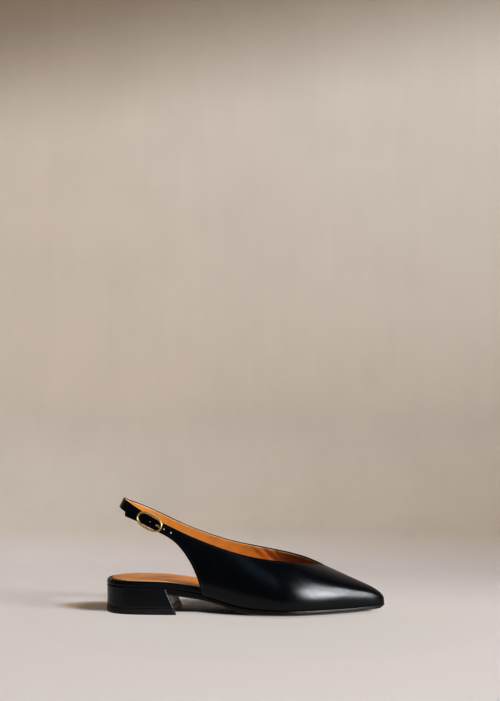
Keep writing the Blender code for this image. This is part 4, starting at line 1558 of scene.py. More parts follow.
    def sling_strap(self) -> list[Rib]:
        """The sling on the lateral side, which slips inside the strap's end and thins towards the bar.

        Returns:
            The ribs, from the back of the loop to the bar.
        """
        loop, ribs = self.last.strap_loop, []
        last_angle = math.acos(1 - self.bar_at / loop)
        thin = self.eye_leather / self.wall
        narrows = [self.bar_at - before for before in self.eye_narrows]
        for angle in np.linspace(0, last_angle, self.sling_ribs + 1):
            along = loop * (1 - math.cos(angle))
            shift = self.inside() * smooth_step(angle, 0.0, last_angle / 2)
            share = 1 - (1 - thin) * smooth_step(along, self.bar_at - self.fold_close, self.bar_at)
            outward = self.lateral_frame(max(along, self.FRAME_STEP), 0)[2]
            narrow = (self.last.strap_width - self.eye_width) / 2 * smooth_step(along, *narrows)
            points = self.strap_rib(along, Side.LATERAL, -narrow, narrow).points
            ribs.append(Rib([p - outward * shift for p in points], share, False))
        return ribs

    def sling_eye(self) -> list[Rib]:
        """The sling's thin end, folded round the bar and back.

        Returns:
            The ribs, from the bar to the end.
        """
        inside, eye, across = self.inside(), self.eye_radius(), self.last.across()
        centre, direction, outward = self.bar_frame()
        middles = []
        for angle in np.linspace(0, math.pi, self.eye_ribs + 1)[1:]:
            middles.append(centre + (outward * math.cos(angle) + direction * math.sin(angle)) * eye)
        closed = inside + self.wall + self.last.joint_gap + self.eye_leather
        for share in np.linspace(0, 1, self.fold_ribs + 1)[1:]:
            along = self.bar_at - self.fold_back * share
            close = smooth_step(self.bar_at - along, 0, self.fold_close)
            depth = (inside + 2 * eye) * (1 - close) + closed * close
            middles.append(self.lateral_frame(along, depth)[0])
        reach = self.eye_width / 2 - self.rim_bulge
        heights = np.linspace(-reach, reach, self.rows + 1)
        thin = self.eye_leather / self.wall
        return [Rib([middle + across * h for h in heights], thin, False) for middle in middles]

    def eye_radius(self) -> float:
        """The outer radius of the sling's fold round the bar."""
        return self.bar_radius + self.last.joint_gap + self.eye_leather

    def prong_at(self) -> float:
        """How far along the strap the prong comes up through it."""
        return self.first_hole + self.hole_pitch * self.prong_hole

    def bar_frame(self) -> Frame:
        """(point, direction, outward) of the buckle's bar."""
        return self.lateral_frame(self.bar_at, self.inside() + self.eye_radius())

    def skin(self) -> LeatherLayer:
        """The whole upper.

        Returns:
            One skin of two welded panels.
        """
        lateral = self.make_tail() + self.make_quarter(Side.LATERAL) + self.make_vamp(Side.LATERAL)
        medial = (self.make_quarter(Side.MEDIAL) + self.make_vamp(Side.MEDIAL))[::-1]
        return LeatherLayer([lateral, medial + self.make_sling()])

    def cutters(self) -> list[Object]:
        """The shapes that are cut out of the strap.

        Returns:
            The punches for its holes, the notch in the sling's eye and the prong's slot.
        """
        gap, depth = self.last.joint_gap, self.inside()
        places = [self.first_hole + self.hole_pitch * i for i in range(self.hole_count)]
        spots = [self.lateral_frame(at, depth / 2) for at in places]
        mesh = bpy.data.meshes.new("strap_holes")
        mesh.from_pydata([place(s[0]) for s in spots], [], [])
        axis = mesh.attributes.new("axis", "FLOAT_VECTOR", "POINT")
        axis.data.foreach_set("vector", [float(c) for s in spots for c in s[2]])
        made = [add_object("strap_holes", mesh)]
        PunchRow().run(made[0], {"Radius": self.hole_radius * MM, "Depth": (depth + 2 * gap) * MM})
        width, eye = 2 * (self.prong_radius + gap) + self.notch_play, 2 * self.eye_radius()
        bar, direction, outward = self.bar_frame()
        notch_at = (bar + direction * self.notch_ahead, direction, outward)
        slot_at = self.lateral_frame(self.prong_at(), depth / 2)
        blocks = (
            ("eye_notch", notch_at, (eye + self.notch_longer, width, eye + gap)),
            ("prong_slot", slot_at, (self.slot_length, width, depth + gap)),
        )
        for name, block_at, size in blocks:
            bm = bmesh.new()
            bmesh.ops.create_cube(bm, size=MM, matrix=oriented(*block_at) @ Matrix.Diagonal((*size, 1.0)))
            made.append(add_object(name, mesh_of(name, bm)))
        return made

    def crease(self, mesh: Mesh) -> None:
        """Presses soft slanting folds into the lining of the medial side, near the throat.

        Args:
            mesh: the lining.
        """
        for vert in mesh.vertices:
            x, y, z = vert.co.x / MM + ORIGIN_X, vert.co.y / MM, vert.co.z / MM
            if y < self.crease_side:
                continue
            slanted = x + (z - self.crease_level)
            edge = self.last.top_edge[Side.MEDIAL](min(x, TOPLINE[-1].x))
            fade = smooth_step(z, *self.crease_rises) * smooth_step(edge - z, *self.crease_top)
            push = sum(c.push * math.exp(-(((slanted - c.at) / c.width) ** 2)) for c in self.creases)
            vert.co.y -= push * fade * MM

    def build(self) -> None:
        """Builds and dresses the leather, the lining and the stitching."""
        skin = self.skin()
        mesh = skin.mesh("upper_leather", 0.0, self.outer, self.rim_bulge, self.sole_bulge)
        leather = add_object("upper_leather", mesh, GLOSSY_BLACK.material(), self.sharp)
        inner = replace(self, top_inset=self.lining_drawn_in).skin()
        mesh = inner.mesh("upper_lining", self.lining_from, self.wall, self.lining_bulge, 0.0)
        self.crease(mesh)
        lining = add_object("upper_lining", mesh, TAN_LINING.material(), self.sharp)
        for cutter in self.cutters():
            join(leather, cutter, Joining.DIFFERENCE)
            join(lining, cutter, Joining.DIFFERENCE)
            bpy.data.objects.remove(cutter)
        finish_piece(leather, Slot.BLACK_LEATHER, "upper")
        finish_piece(lining, Slot.TAN_LEATHER)
        self.stitch(skin)

    def stitch(self, skin: LeatherLayer) -> None:
        """Sews a row of stitches inside the edges of the leather.

        Args:
            skin: the upper's skin.
        """
        lines = skin.stitch_lines(self.stitch_inset, self.thread_width * self.thread_proud)
        mesh = bpy.data.meshes.new("edge_stitching")
        edges, start = [], 0
        for line in lines:
            edges += [(start + i, start + i + 1) for i in range(len(line) - 1)]
            start += len(line)
        mesh.from_pydata([p for line in lines for p in line], edges, [])
        sewn = add_object("edge_stitching", mesh)
        values = {
            "Pitch": self.stitch_pitch * MM,
            "Stitch Length": self.stitch_length * MM,
            "Thread Width": self.thread_width * MM,
            "Thread": BLACK_THREAD.material(),
        }
        StitchRow().run(sewn, values)
        sewn.data.shade_smooth()
        finish_piece(sewn, Slot.BLACK_LEATHER)


def bent_plate(last: Last, rings: Iterable[tuple[Curve, Curve]], steps: int) -> BMesh:
    """A plate that follows the sole.

    Args:
        last: the form.
        rings: (inset, height) as functions of x, from the top face over the edge to the underside.
        steps: points along each side.

    Returns:
        The closed plate.
    """
    bm = bmesh.new()
    loops = []
    for inset, height in rings:
        lines = last.outline(inset, steps)
        loops.append([[bm.verts.new(place((p[0], p[1], height(p[0])))) for p in line] for line in lines])
    for (lateral, medial), (next_lateral, next_medial) in zip(loops, loops[1:]):
        for i in range(steps):
            bm.faces.new((lateral[i], next_lateral[i], next_lateral[i + 1], lateral[i + 1]))
            bm.faces.new((medial[i], medial[i + 1], next_medial[i + 1], next_medial[i]))
    for (lateral, medial), upward in ((loops[0], True), (loops[-1], False)):
        for i in range(steps):
            corners = [lateral[i], lateral[i + 1], medial[i + 1], medial[i]]
            bm.faces.new(corners if upward else corners[::-1])
    return bm


@dataclass
class FootbedAssembly:
    """The leather-wrapped board whose rim shows round the heel, and the tan sock on it."""

    last: Last
    steps: int = 150
    full_bed: float = LEVELS[0].bed
    sock_thickness: float = 1.3
    sock_inset: float = 2.5
    sock_widens: float = 1.8
    sock_back: float = 2.2
    sock_back_fades: Span = (0.0, 24.0)
    sock_cut: Span = (0.02, 0.2)
    sock_edge: tuple[EdgeStep, ...] = (
        EdgeStep(0.0, 1.6), EdgeStep(0.0, 0.6), EdgeStep(0.08, 0.32), EdgeStep(0.3, 0.1),
        EdgeStep(0.65, 0.0), EdgeStep(1.3, 0.0),
    )
    rim_lip: float = 1.0
    rim_fades: Span = (66.0, 86.0)
    rim_profile: tuple[RimStep, ...] = (
        RimStep(2.8, 1.0, 0.0), RimStep(2.2, 1.0, 0.0), RimStep(2.05, 1.0, 0.25),
        RimStep(1.85, 0.985, 0.72), RimStep(1.6, 0.97, 0.93), RimStep(1.2, 0.94, 1.0),
        RimStep(0.75, 0.865, 0.93), RimStep(0.35, 0.76, 0.7), RimStep(0.1, 0.63, 0.42),
        RimStep(0.0, 0.48, 0.2), RimStep(0.0, 0.35, 0.08), RimStep(0.1, 0.22, 0.0),
        RimStep(0.26, 0.12, 0.0), RimStep(0.5, 0.06, 0.0), RimStep(1.2, 0.0, 0.0),
    )

    def rim_ring(self, step: RimStep) -> tuple[Curve, Curve]:
        """A line round the board.

        Args:
            step: its row of the profile.

        Returns:
            Its inset and its height, as functions of x.
        """
        last = self.last

        def inset(x: float) -> float:
            """Less where the board is thinner, and none at the toe's tip."""
            return last.bed_inset + step.inset * min(last.bed(x) / self.full_bed, 1.0) * last.toe_fade(x)

        def height(x: float) -> float:
            """A share of the board, with the lip round the heel."""
            lip = step.lip * self.rim_lip * (1 - smooth_step(x, *self.rim_fades))
            return last.feather(x) + last.bed(x) * step.share + lip

        return inset, height

    def sock_floor(self, x: float) -> float:
        """The height of the sock's underside."""
        return self.last.feather(x) + self.last.bed(x) + self.last.joint_gap

    def sock_side(self, x: float) -> float:
        """How far the sock's side lies in: far along the shank, less in the forepart."""
        return self.sock_inset - self.sock_widens * smooth_step(x, *self.last.shank_to_forepart)

    def sock_ring(self, step: EdgeStep) -> tuple[Curve, Curve]:
        """A line round the sock.

        Args:
            step: its row of the edge.

        Returns:
            Its inset and its height, as functions of x.
        """
        last, above = self.last, self.sock_thickness - step.off

        def inset(x: float) -> float:
            """As far in as the sock's edge, and at the toe's tip no farther."""
            back = self.sock_back * (1 - smooth_step(x, *self.sock_back_fades))
            return (
                last.bed_inset + back + self.sock_side(x) * last.toe_fade(x) + step.inset * last.toe_fade(x)
            )

        return inset, lambda x: self.sock_floor(x) + above

    def build_board(self) -> None:
        """Builds and dresses the rim and the board under the sock."""
        mesh = mesh_of("footbed_rim", bent_plate(self.last, map(self.rim_ring, self.rim_profile), self.steps))
        mark_edge(mesh, [0.0] * len(mesh.vertices))
        board = add_object("footbed_rim", mesh, RIM_BLACK.material())
        finish_piece(board, Slot.BLACK_LEATHER, "footbed")

    def build_sock(self) -> None:
        """Builds and dresses the sock, with the pale cut edge of its leather."""
        mesh = mesh_of("sock", bent_plate(self.last, map(self.sock_ring, self.sock_edge), self.steps))
        edge = []
        for vert in mesh.vertices:
            top = self.sock_floor(vert.co.x / MM + ORIGIN_X) + self.sock_thickness
            edge.append(smooth_step(top - vert.co.z / MM, *self.sock_cut))
        mark_edge(mesh, edge)
        sock = add_object("sock", mesh, TAN_SOCK.material())
        finish_piece(sock, Slot.TAN_LEATHER, "insole_sock")

    def build(self) -> None:
        """Builds and dresses both pieces."""
        self.build_board()
        self.build_sock()


@dataclass
class HeelAssembly:
    """The leather-covered block heel, its hollow front face and the lift that it stands on."""

    last: Last
    height: float = 25.0
    lift_height: float = 5.8
    breast_top: float = 58.0
    breast_slant: float = 10.0
    breast_hollow: float = 3.5
    taper: float = 0.1
    corner: float = 1.2
    outline_steps: int = 240
    side_points: int = 70
    corner_points: int = 7
    front_points: int = 20
    waist: float = 0.25
    waist_span: Span = (0.08, 0.92)
    waist_levels: int = 9
    cover_top: tuple[EdgeStep, ...] = (
        EdgeStep(0.0, 0.7), EdgeStep(0.1, 0.42), EdgeStep(0.3, 0.18), EdgeStep(0.55, 0.05),
        EdgeStep(0.8, 0.0),
    )
    cover_foot: tuple[EdgeStep, ...] = (
        EdgeStep(0.5, 0.0), EdgeStep(0.3, 0.04), EdgeStep(0.12, 0.14), EdgeStep(0.0, 0.3),
    )
    lift_top: tuple[EdgeStep, ...] = (
        EdgeStep(0.0, 0.35), EdgeStep(0.08, 0.18), EdgeStep(0.22, 0.05), EdgeStep(0.4, 0.0),
    )
    lift_foot: tuple[EdgeStep, ...] = (
        EdgeStep(0.6, 0.0), EdgeStep(0.3, 0.08), EdgeStep(0.1, 0.3), EdgeStep(0.0, 0.6),
    )

    def breast(self, z: float, share: float) -> float:
        """The x of the front face at a height, share from -1 to 1 across it."""
        slant = self.breast_slant * (self.height - z) / self.height
        return self.breast_top + slant - self.breast_hollow * (1 - share * share)

    def outline(self, z: float) -> np.ndarray:
        """The heel's outline: one side, the hollow front and the other side.

        Args:
            z: the height.

        Returns:
            Its (x, y) points.
        """
        inset = self.last.bed_inset + self.taper * (1 - z / self.height)
        front, corner = self.breast(z, 1.0), self.corner
        turns = np.linspace(0, math.pi / 2, self.corner_points + 2)[1:]
        sides, edges, corners = [], [], []
        for line, inward in zip(self.last.outline(lambda x: inset, self.outline_steps), (corner, -corner)):
            edge = float(np.interp(front, line[:, 0], line[:, 1]))
            kept = [p for p in line if p[0] < front - corner] + [np.array((front - corner, edge))]
            sides.append(resample(kept, self.side_points))
            xs = [front - corner + corner * math.sin(a) for a in turns]
            corners.append([(x, edge + inward - inward * math.cos(a)) for x, a in zip(xs, turns)])
            edges.append(edge)
        low, high = edges
        reach, middle = (high - low) / 2 - corner, (low + high) / 2
        shares = np.linspace(-1, 1, self.front_points + 1)[1:-1]
        face = [(self.breast(z, s), middle + s * reach) for s in shares]
        near, far = corners
        return np.array([*map(tuple, sides[0]), *near, *face, *far[::-1], *map(tuple, sides[1][:0:-1])])

    def loft(self, name: str, levels: Sequence[tuple[float, float, Curve]]) -> Mesh:
        """A solid through outlines.

        Args:
            name: the mesh's name.
            levels: (z of the outline, how far it is drawn in, height of its points), from the top down.

        Returns:
            The closed mesh.
        """
        bm = bmesh.new()
        loops = []
        for z, drawn_in, height in levels:
            points = self.outline(z)
            inward = points.mean(axis=0) - points
            points = points + inward / np.linalg.norm(inward, axis=1, keepdims=True) * drawn_in
            loops.append([bm.verts.new(place((x, y, height(x)))) for x, y in points])
        for above, below in zip(loops, loops[1:]):
            for i in range(len(above)):
                j = (i + 1) % len(above)
                bm.faces.new((above[i], below[i], below[j], above[j]))
        bm.faces.new(loops[0])
        bm.faces.new(loops[-1][::-1])
        mesh = mesh_of(name, bm)
        mark_edge(mesh, [0.0] * len(mesh.vertices))
        return mesh

    def build_block(self) -> None:
        """Builds and dresses the block, with its top following the seat and softly rounded edges."""
        low = self.lift_height + self.last.joint_gap
        rise = self.height - low
        downs = np.linspace(*self.waist_span, self.waist_levels)
        rows = [(rise - step.off, step.inset) for step in self.cover_top]
        rows += [(rise * (1 - t), self.waist * (1 - (2 * t - 1) ** 2)) for t in downs]
        rows += self.cover_foot

        def level(above: float, drawn_in: float) -> tuple[float, float, Curve]:
            """One outline, for loft()."""
            share = above / rise
            return low + above, drawn_in, lambda x: low + (self.last.seat(x) - low) * share

        mesh = self.loft("heel_cover", [level(*row) for row in rows])
        block = add_object("heel_cover", mesh, SATIN_BLACK.material())
        finish_piece(block, Slot.HEEL_LEATHER, "heel_block")

    def build_lift(self) -> None:
        """Builds and dresses the lift."""
        rows = [(self.lift_height - step.off, step.inset) for step in self.lift_top] + [*self.lift_foot]
        mesh = self.loft("heel_top_piece", [(z, i, lambda x, z=z: z) for z, i in rows])
        lift = add_object("heel_top_piece", mesh, LIFT_PIECE.material())
        finish_piece(lift, Slot.LIFT_RUBBER, "heel_lift")

    def build(self) -> None:
        """Builds and dresses both pieces."""
        self.build_block()
        self.build_lift()


@dataclass
class SoleAssembly:
    """The sole from the heel's front face to the toe."""

    last: Last
    heel: HeelAssembly
    extension: float = 0.5
    shank_inset: float = 2.6
    flat_share: float = 0.5
    strips: int = 24
    columns: int = 150
    outline_steps: int = 320
    nose_reach: float = 9.0
    breast_crowding: float = 0.4
    edge_steps: tuple[SoleStep, ...] = (
        SoleStep(1.0, 0.5, 0.4), SoleStep(0.985, 0.26, 0.3), SoleStep(0.95, 0.1, 0.22),
        SoleStep(0.88, 0.0, 0.2), SoleStep(0.6, 0.0, 0.5), SoleStep(0.35, 0.0, 1.1),
        SoleStep(0.18, 0.0, 1.65), SoleStep(0.1, 0.08, 2.1), SoleStep(0.04, 0.22, 2.5),
        SoleStep(0.0, 0.5, 2.9),
    )

    def inset(self, x: float) -> float:
        """How far the edge is drawn in: under the footbed's rim at the shank, beyond the upper in front."""
        reach = self.shank_inset + self.extension
        return self.shank_inset - reach * smooth_step(x, *self.last.shank_to_forepart)

    def height(self, x: float, across: float, share: float) -> float:
        """A height in the sole.

        Args:
            x: place along the shoe.
            across: from -1 on the lateral edge to 1 on the medial one.
            share: from 0 on the underside to 1 on the top.

        Returns:
            The height.
        """
        beside = max(abs(across) - self.flat_share, 0) / (1 - self.flat_share)
        under = self.last.ground(x) + self.last.edge_lift(x) * beside**2
        return under + (self.last.seat(x) - under) * share

    def grid(self, bm: BMesh, step: SoleStep) -> list[list[BMVert]]:
        """The points of one layer of the sole.

        Args:
            bm: the shape that they are added to.
            step: the layer's row of the edge.

        Returns:
            The points in columns from the heel to the toe.
        """
        last, start = self.last, self.heel.breast_top
        lines = last.outline(self.inset, self.outline_steps)
        end = lines[0][-1][0]
        us = np.linspace(last.rounded(start), 1, self.columns + 1)
        grid = []
        for column in [min(last.station(u), end) for u in us[:-1]] + [end]:
            row = []
            for across in np.linspace(-1, 1, self.strips + 1):
                front = self.heel.breast(self.height(start, across, step.share), across) + last.joint_gap
                x = max(column, front + (column - start) * self.breast_crowding)
                a, b = (float(np.interp(x, line[:, 0], line[:, 1])) for line in lines)
                reach = max((b - a) / 2 - step.tuck * last.toe_fade(x), 0.0)
                y = (a + b) / 2 + across * reach
                x -= step.nose * smooth_step(x, end - self.nose_reach, end)
                row.append(bm.verts.new(place((x, y, self.height(x, across, step.share)))))
            grid.append(row)
        return grid

    def build(self) -> None:
        """Builds and dresses the sole."""
        bm = bmesh.new()
        grids = [self.grid(bm, step) for step in self.edge_steps]
        for grid, turned in ((grids[0], False), (grids[-1], True)):
            for back, front in zip(grid, grid[1:]):
                for j in range(self.strips):
                    corners = [back[j], front[j], front[j + 1], back[j + 1]]
                    bm.faces.new(corners[::-1] if turned else corners)
        for above, below in zip(grids, grids[1:]):
            for i in range(self.columns):
                bm.faces.new((above[i][0], below[i][0], below[i + 1][0], above[i + 1][0]))
                bm.faces.new((above[i][-1], above[i + 1][-1], below[i + 1][-1], below[i][-1]))
            for j in range(self.strips):
                bm.faces.new((above[0][j], above[0][j + 1], below[0][j + 1], below[0][j]))
        spare = [v for v in bm.verts if not v.link_faces]
        bmesh.ops.delete(bm, geom=spare, context="VERTS")
        sole = add_object("sole", mesh_of("sole", bm), SOLE_EDGE.material())
        finish_piece(sole, Slot.SOLE_BLACK, "outsole")


@dataclass
class BuckleAssembly:
    """The oval ring with its bar, and the prong that pins the strap.

    The bar's bend runs inward from the ring, at shares of the ring's height over the bar. The pin's steps
    under the strap run on from its hole, at depths in the strap. Those over the ring run on from the ring's
    end, off the height at which the pin clears it.
    """

    BEVEL_STEPS = 6

    upper: UpperAssembly
    length: float = 26.6
    width: float = 15.0
    wire: float = 1.0
    fullness: float = 2.4
    sharp: float = 60.0
    ring_points: int = 96
    eye_play: float = 0.4
    eye_turn: float = math.radians(200.0)
    eye_points: int = 15
    pin_points: int = 70
    bar_bend: tuple[WireStep, ...] = (
        WireStep(0.0, 1.0), WireStep(0.0, 0.5), WireStep(0.1, 0.3), WireStep(0.5, 0.12),
        WireStep(1.1, 0.03),
    )
    pin_under: tuple[WireStep, ...] = (
        WireStep(-4.5, 4.3), WireStep(-2.6, 4.1), WireStep(-1.2, 3.5), WireStep(-0.5, 2.4),
        WireStep(0.35, 0.0),
    )
    pin_over: tuple[WireStep, ...] = (
        WireStep(-2.3, -1.5), WireStep(-1.5, -0.4), WireStep(-0.6, 0.0), WireStep(0.8, -0.1),
    )

    def wire_along(self, name: str, path: Sequence[Point], radius: float, closed: bool) -> Object:
        """A round wire.

        Args:
            name: the object's name.
            path: the points of its middle line.
            radius: its radius.
            closed: whether it is a ring; if not, its ends are capped.

        Returns:
            The wire as a mesh object.
        """
        curve = bpy.data.curves.new(name, "CURVE")
        curve.dimensions = "3D"
        curve.bevel_depth = radius * MM
        curve.bevel_resolution = self.BEVEL_STEPS
        curve.use_fill_caps = not closed
        line = curve.splines.new("POLY")
        line.points.add(len(path) - 1)
        for spot, at in zip(line.points, path):
            spot.co = (*place(at), 1.0)
        line.use_cyclic_u = closed
        made = hang(name, curve)
        mesh = plain_mesh(made)
        bpy.data.objects.remove(made)
        bm = bmesh.new()
        bm.from_mesh(mesh)
        return add_object(name, mesh_of(name, bm))

    def half(self, size: float) -> float:
        """Half a size of the ring, to the middle of its wire."""
        return size / 2 - self.wire

    def ring_frame(self) -> Frame:
        """The ring's place, off the strap by as much as it needs to clear the strap's edges.

        Returns:
            Its middle, the direction along the strap and the way outward.
        """
        upper = self.upper
        middle, direction, outward = upper.lateral_frame(upper.buckle_at, 0)
        share = (upper.last.strap_width / 2 + self.wire) / self.half(self.width)
        reach = self.half(self.length) * (1 - share**self.fullness) ** (1 / self.fullness)
        ribs = [upper.strap_rib(upper.buckle_at + end * reach, Side.LATERAL) for end in (-1, 1)]
        highest = max(np.dot(p - middle, outward) for rib in ribs for p in rib.points)
        return middle + outward * (highest + self.wire + upper.last.joint_gap), direction, outward

    def fuller(self, value: float) -> float:
        """A sine or cosine raised so that the oval is fuller than an ellipse."""
        return math.copysign(abs(value) ** (2 / self.fullness), value)

    @staticmethod
    def eased(path: Sequence[Point], count: int) -> np.ndarray:
        """A smooth line through a rough path.

        Args:
            path: the path's points.
            count: how many points the line gets.

        Returns:
            The line's points.
        """
        run = arc_length(path)
        curves = [Spline(run.tolist(), [float(p[k]) for p in path]) for k in range(3)]
        return np.array([[c(s) for c in curves] for s in np.linspace(0, run[-1], count)])

    def build_ring(self) -> Object:
        """The oval ring.

        Returns:
            The wire.
        """
        centre, direction, _ = self.ring_frame()
        across, path = self.upper.last.across(), []
        for turn in np.linspace(0, 2 * math.pi, self.ring_points, endpoint=False):
            along = self.half(self.length) * self.fuller(math.cos(turn))
            aside = self.half(self.width) * self.fuller(math.sin(turn))
            path.append(centre + direction * along + across * aside)
        return self.wire_along("buckle_ring", path, self.wire, True)

    def build_bar(self) -> Object:
        """The bar, which dips from the ring to run through the sling's eye.

        Returns:
            The wire.
        """
        centre, direction, outward = self.ring_frame()
        across, middle = self.upper.last.across(), self.upper.bar_frame()[0]
        ring_top = centre + direction * np.dot(middle - centre, direction)
        sink = np.dot(ring_top - middle, outward)
        bend = [(self.half(self.width) - step.along, step.off) for step in self.bar_bend]
        bend.append((self.upper.eye_width / 2 + self.eye_play, 0.0))
        whole = bend + [(-a, share) for a, share in bend[::-1]]
        path = [middle + across * a + outward * sink * share for a, share in whole]
        return self.wire_along("buckle_bar", path, self.upper.bar_radius, False)

    def build_prong(self) -> Object:
        """The prong: an eye round the bar, then up through the strap and over the ring's end.

        Returns:
            The wire.
        """
        upper = self.upper
        centre, direction, outward = self.ring_frame()
        middle, gap, path = upper.bar_frame()[0], upper.last.joint_gap, []
        turn_radius = upper.bar_radius + gap + upper.prong_radius
        for turn in np.linspace(self.eye_turn, 0, self.eye_points):
            spoke = direction * math.cos(turn) - outward * math.sin(turn)
            path.append(middle + spoke * turn_radius)
        path += [upper.lateral_frame(upper.prong_at() + step.along, step.off)[0] for step in self.pin_under]
        ring_end = centre + direction * self.half(self.length)
        over = self.wire + gap + upper.prong_radius
        path += [ring_end + direction * step.along + outward * (over + step.off) for step in self.pin_over]
        return self.wire_along("buckle_pin", self.eased(path, self.pin_points), upper.prong_radius, False)

    def build(self) -> None:
        """Builds and dresses the ring with its bar, and the prong."""
        ring, bar = self.build_ring(), self.build_bar()
        join(ring, bar, Joining.UNION)
        bpy.data.objects.remove(bar)
        gold = GOLD.material()
        for piece, node in ((ring, "buckle_frame"), (self.build_prong(), "buckle_prong")):
            piece.data.materials.clear()
            piece.data.materials.append(gold)
            piece.data.shade_smooth()
            piece.data.set_sharp_from_angle(angle=math.radians(self.sharp))
            finish_piece(piece, Slot.GOLD_METAL, node)


class LightUse(Enum):
    """What a light is there for: to light the pieces, or to be mirrored in glossy ones."""

    LIGHTING = auto()
    MIRRORED = auto()


class BoxShape(Enum):
    """The outline of a softbox."""

    RECTANGLE = auto()
    ELLIPSE = auto()


@dataclass(frozen=True)
class Softbox:
    """A soft light: where it hangs, what it faces, its size, power, use, tint and turn about its own axis."""

    name: str
    at: Triple
    towards: Triple
    size: Span
    watts: float
    use: LightUse
    tint: Colour = WHITE
    shape: BoxShape = BoxShape.RECTANGLE
    roll: float = 0.0

    def build(self) -> None:
        """Puts the light in the scene, aimed."""
        data = bpy.data.lights.new(self.name, "AREA")
        data.shape = self.shape.name
        data.size, data.size_y = self.size
        data.energy = self.watts
        data.color = self.tint
        lamp = hang(self.name, data)
        lamp.location = self.at
        lamp.visible_glossy = self.use is LightUse.MIRRORED
        lamp.visible_diffuse = self.use is LightUse.LIGHTING
        aim = (Vector(self.towards) - Vector(self.at)).to_track_quat("-Z", "Y")
        lamp.rotation_euler = (aim @ Quaternion((0.0, 0.0, 1.0), self.roll)).to_euler()


WARM: Colour = (1.0, 0.97, 0.94)
COOL: Colour = (0.55, 0.8, 1.0)
VAMP_AT: Triple = (0.06, -0.03, 0.03)
INSTEP_AT: Triple = (0.0, -0.03, 0.05)
SOFTBOXES = (
    Softbox(
        "window", (1.296, -0.989, 0.365), VAMP_AT, (1.425, 0.478), 39.0, LightUse.MIRRORED,
        shape=BoxShape.ELLIPSE, roll=math.radians(54.0),
    ),
    Softbox(
        "window_core", (1.168, -1.177, 0.156), VAMP_AT, (0.66, 0.45), 8.5, LightUse.MIRRORED,
        shape=BoxShape.ELLIPSE,
    ),
    Softbox("sky", (-0.14, -1.6, 0.48), INSTEP_AT, (0.6, 0.5), 1.05, LightUse.MIRRORED, COOL),
    Softbox("side", (2.16, -1.15, 1.91), (0.0, 0.0, 0.03), (0.9, 0.9), 95.0, LightUse.LIGHTING, WARM),
    Softbox("fill", (-0.1, -1.1, 2.2), (-0.05, 0.2, 0.0), (2.2, 1.6), 14.0, LightUse.LIGHTING, WARM),
)


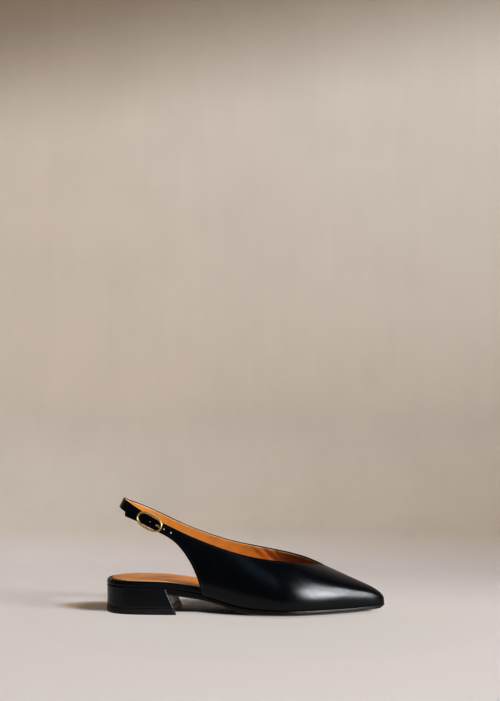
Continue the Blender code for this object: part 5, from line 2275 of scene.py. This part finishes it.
@dataclass
class Studio:
    """The paper sweep, the lights and the camera, with lengths in metres."""

    focal_px: float = 1500.0
    picture_height_px: float = 701.0
    sensor_mm: float = 36.0
    turn: float = math.radians(4.5)
    distance: float = 1.394
    camera_height: float = 0.24245
    sideways: float = 0.004575
    clip: Span = (0.05, 20.0)
    sweep_back: float = 0.28
    sweep_radius: float = 0.16
    sweep_steps: int = 24
    sweep_top: float = 2.2
    sweep_half_width: float = 3.0
    sweep_front: float = -3.0
    floor_front: float = -0.088
    sharp: float = 60.0
    ambient: Colour = (0.9, 0.95, 1.0)
    ambient_strength: float = 0.03
    surround: Colour = (0.6, 0.55, 0.5)
    tone_gamma: float = 0.75
    softboxes: tuple[Softbox, ...] = SOFTBOXES

    def sheet(self, name: str, profile: Sequence[Span], paper: Material) -> Object:
        """A sheet of paper, as wide as the sweep.

        Args:
            name: the object's name.
            profile: its (y, z) points.
            paper: its finish.

        Returns:
            The object.
        """
        verts = [(x, y, z) for x in (-self.sweep_half_width, self.sweep_half_width) for y, z in profile]
        count = len(profile)
        faces = [(i, i + count, i + 1 + count, i + 1) for i in range(count - 1)]
        mesh = bpy.data.meshes.new(name)
        mesh.from_pydata(verts, [], faces)
        obj = add_object(name, mesh, paper, self.sharp)
        return obj

    def build_sweep(self) -> None:
        """The paper: a floor that curves up into a wall behind the shoe, and the floor in front, which is
        left out of reflections so that the side of the shoe mirrors a dark room."""
        paper = PaperSweep().material()
        profile = [(self.floor_front, 0.0), (self.sweep_back, 0.0)]
        for turn in np.linspace(0, math.pi / 2, self.sweep_steps + 1)[1:]:
            rise = self.sweep_radius * (1 - math.cos(turn))
            profile.append((self.sweep_back + self.sweep_radius * math.sin(turn), rise))
        profile.append((profile[-1][0], self.sweep_top))
        self.sheet("paper_sweep", profile, paper)
        front = self.sheet("front_floor", [(self.sweep_front, 0.0), (self.floor_front, 0.0)], paper)
        front.visible_glossy = False

    def build_surround(self) -> None:
        """A dark room, which the camera sees as plain pale paper where it looks past the sweep."""
        world = bpy.data.worlds.new("surround")
        world.use_nodes = True
        tree = NodeBuilder(world.node_tree)
        dark = tree.nodes["Background"]
        dark.inputs["Color"].default_value = (*self.ambient, 1.0)
        dark.inputs["Strength"].default_value = self.ambient_strength
        pale = tree.add("ShaderNodeBackground", {"Color": (*self.surround, 1.0)})
        seen = tree.add("ShaderNodeLightPath", {}).outputs["Is Camera Ray"]
        rooms = {"Fac": seen, 1: dark.outputs["Background"], 2: pale.outputs["Background"]}
        mix = tree.add("ShaderNodeMixShader", rooms)
        tree.links.new(mix.outputs["Shader"], tree.nodes["World Output"].inputs["Surface"])
        bpy.context.scene.world = world

    def build_camera(self) -> None:
        """A level camera at the photograph's place."""
        data = bpy.data.cameras.new("camera")
        data.sensor_width = self.sensor_mm
        data.lens = self.focal_px / self.picture_height_px * self.sensor_mm
        data.clip_start, data.clip_end = self.clip
        camera = hang("camera", data)
        sin, cos = math.sin(self.turn), math.cos(self.turn)
        camera.location = (
            self.distance * sin + self.sideways * cos,
            -self.distance * cos + self.sideways * sin,
            self.camera_height,
        )
        camera.rotation_euler = (math.pi / 2, 0.0, self.turn)
        bpy.context.scene.camera = camera

    def build(self) -> None:
        """Sets up the sweep, the lights, the ambient light, the camera and the picture's tones."""
        self.build_sweep()
        for softbox in self.softboxes:
            softbox.build()
        self.build_surround()
        view = bpy.context.scene.view_settings
        view.view_transform = "Standard"
        view.gamma = self.tone_gamma
        self.build_camera()
        log.info("studio: %d softboxes", len(self.softboxes))


def main() -> None:
    """Builds the shoe's pieces in the order that a maker would, then the studio."""
    logging.basicConfig(level=logging.INFO, format="%(name)s %(message)s")
    last = Last()
    upper = UpperAssembly(last)
    heel = HeelAssembly(last)
    SoleAssembly(last, heel).build()
    heel.build()
    FootbedAssembly(last).build()
    upper.build()
    BuckleAssembly(upper).build()
    Studio().build()


if __name__ == "__main__":
    main()
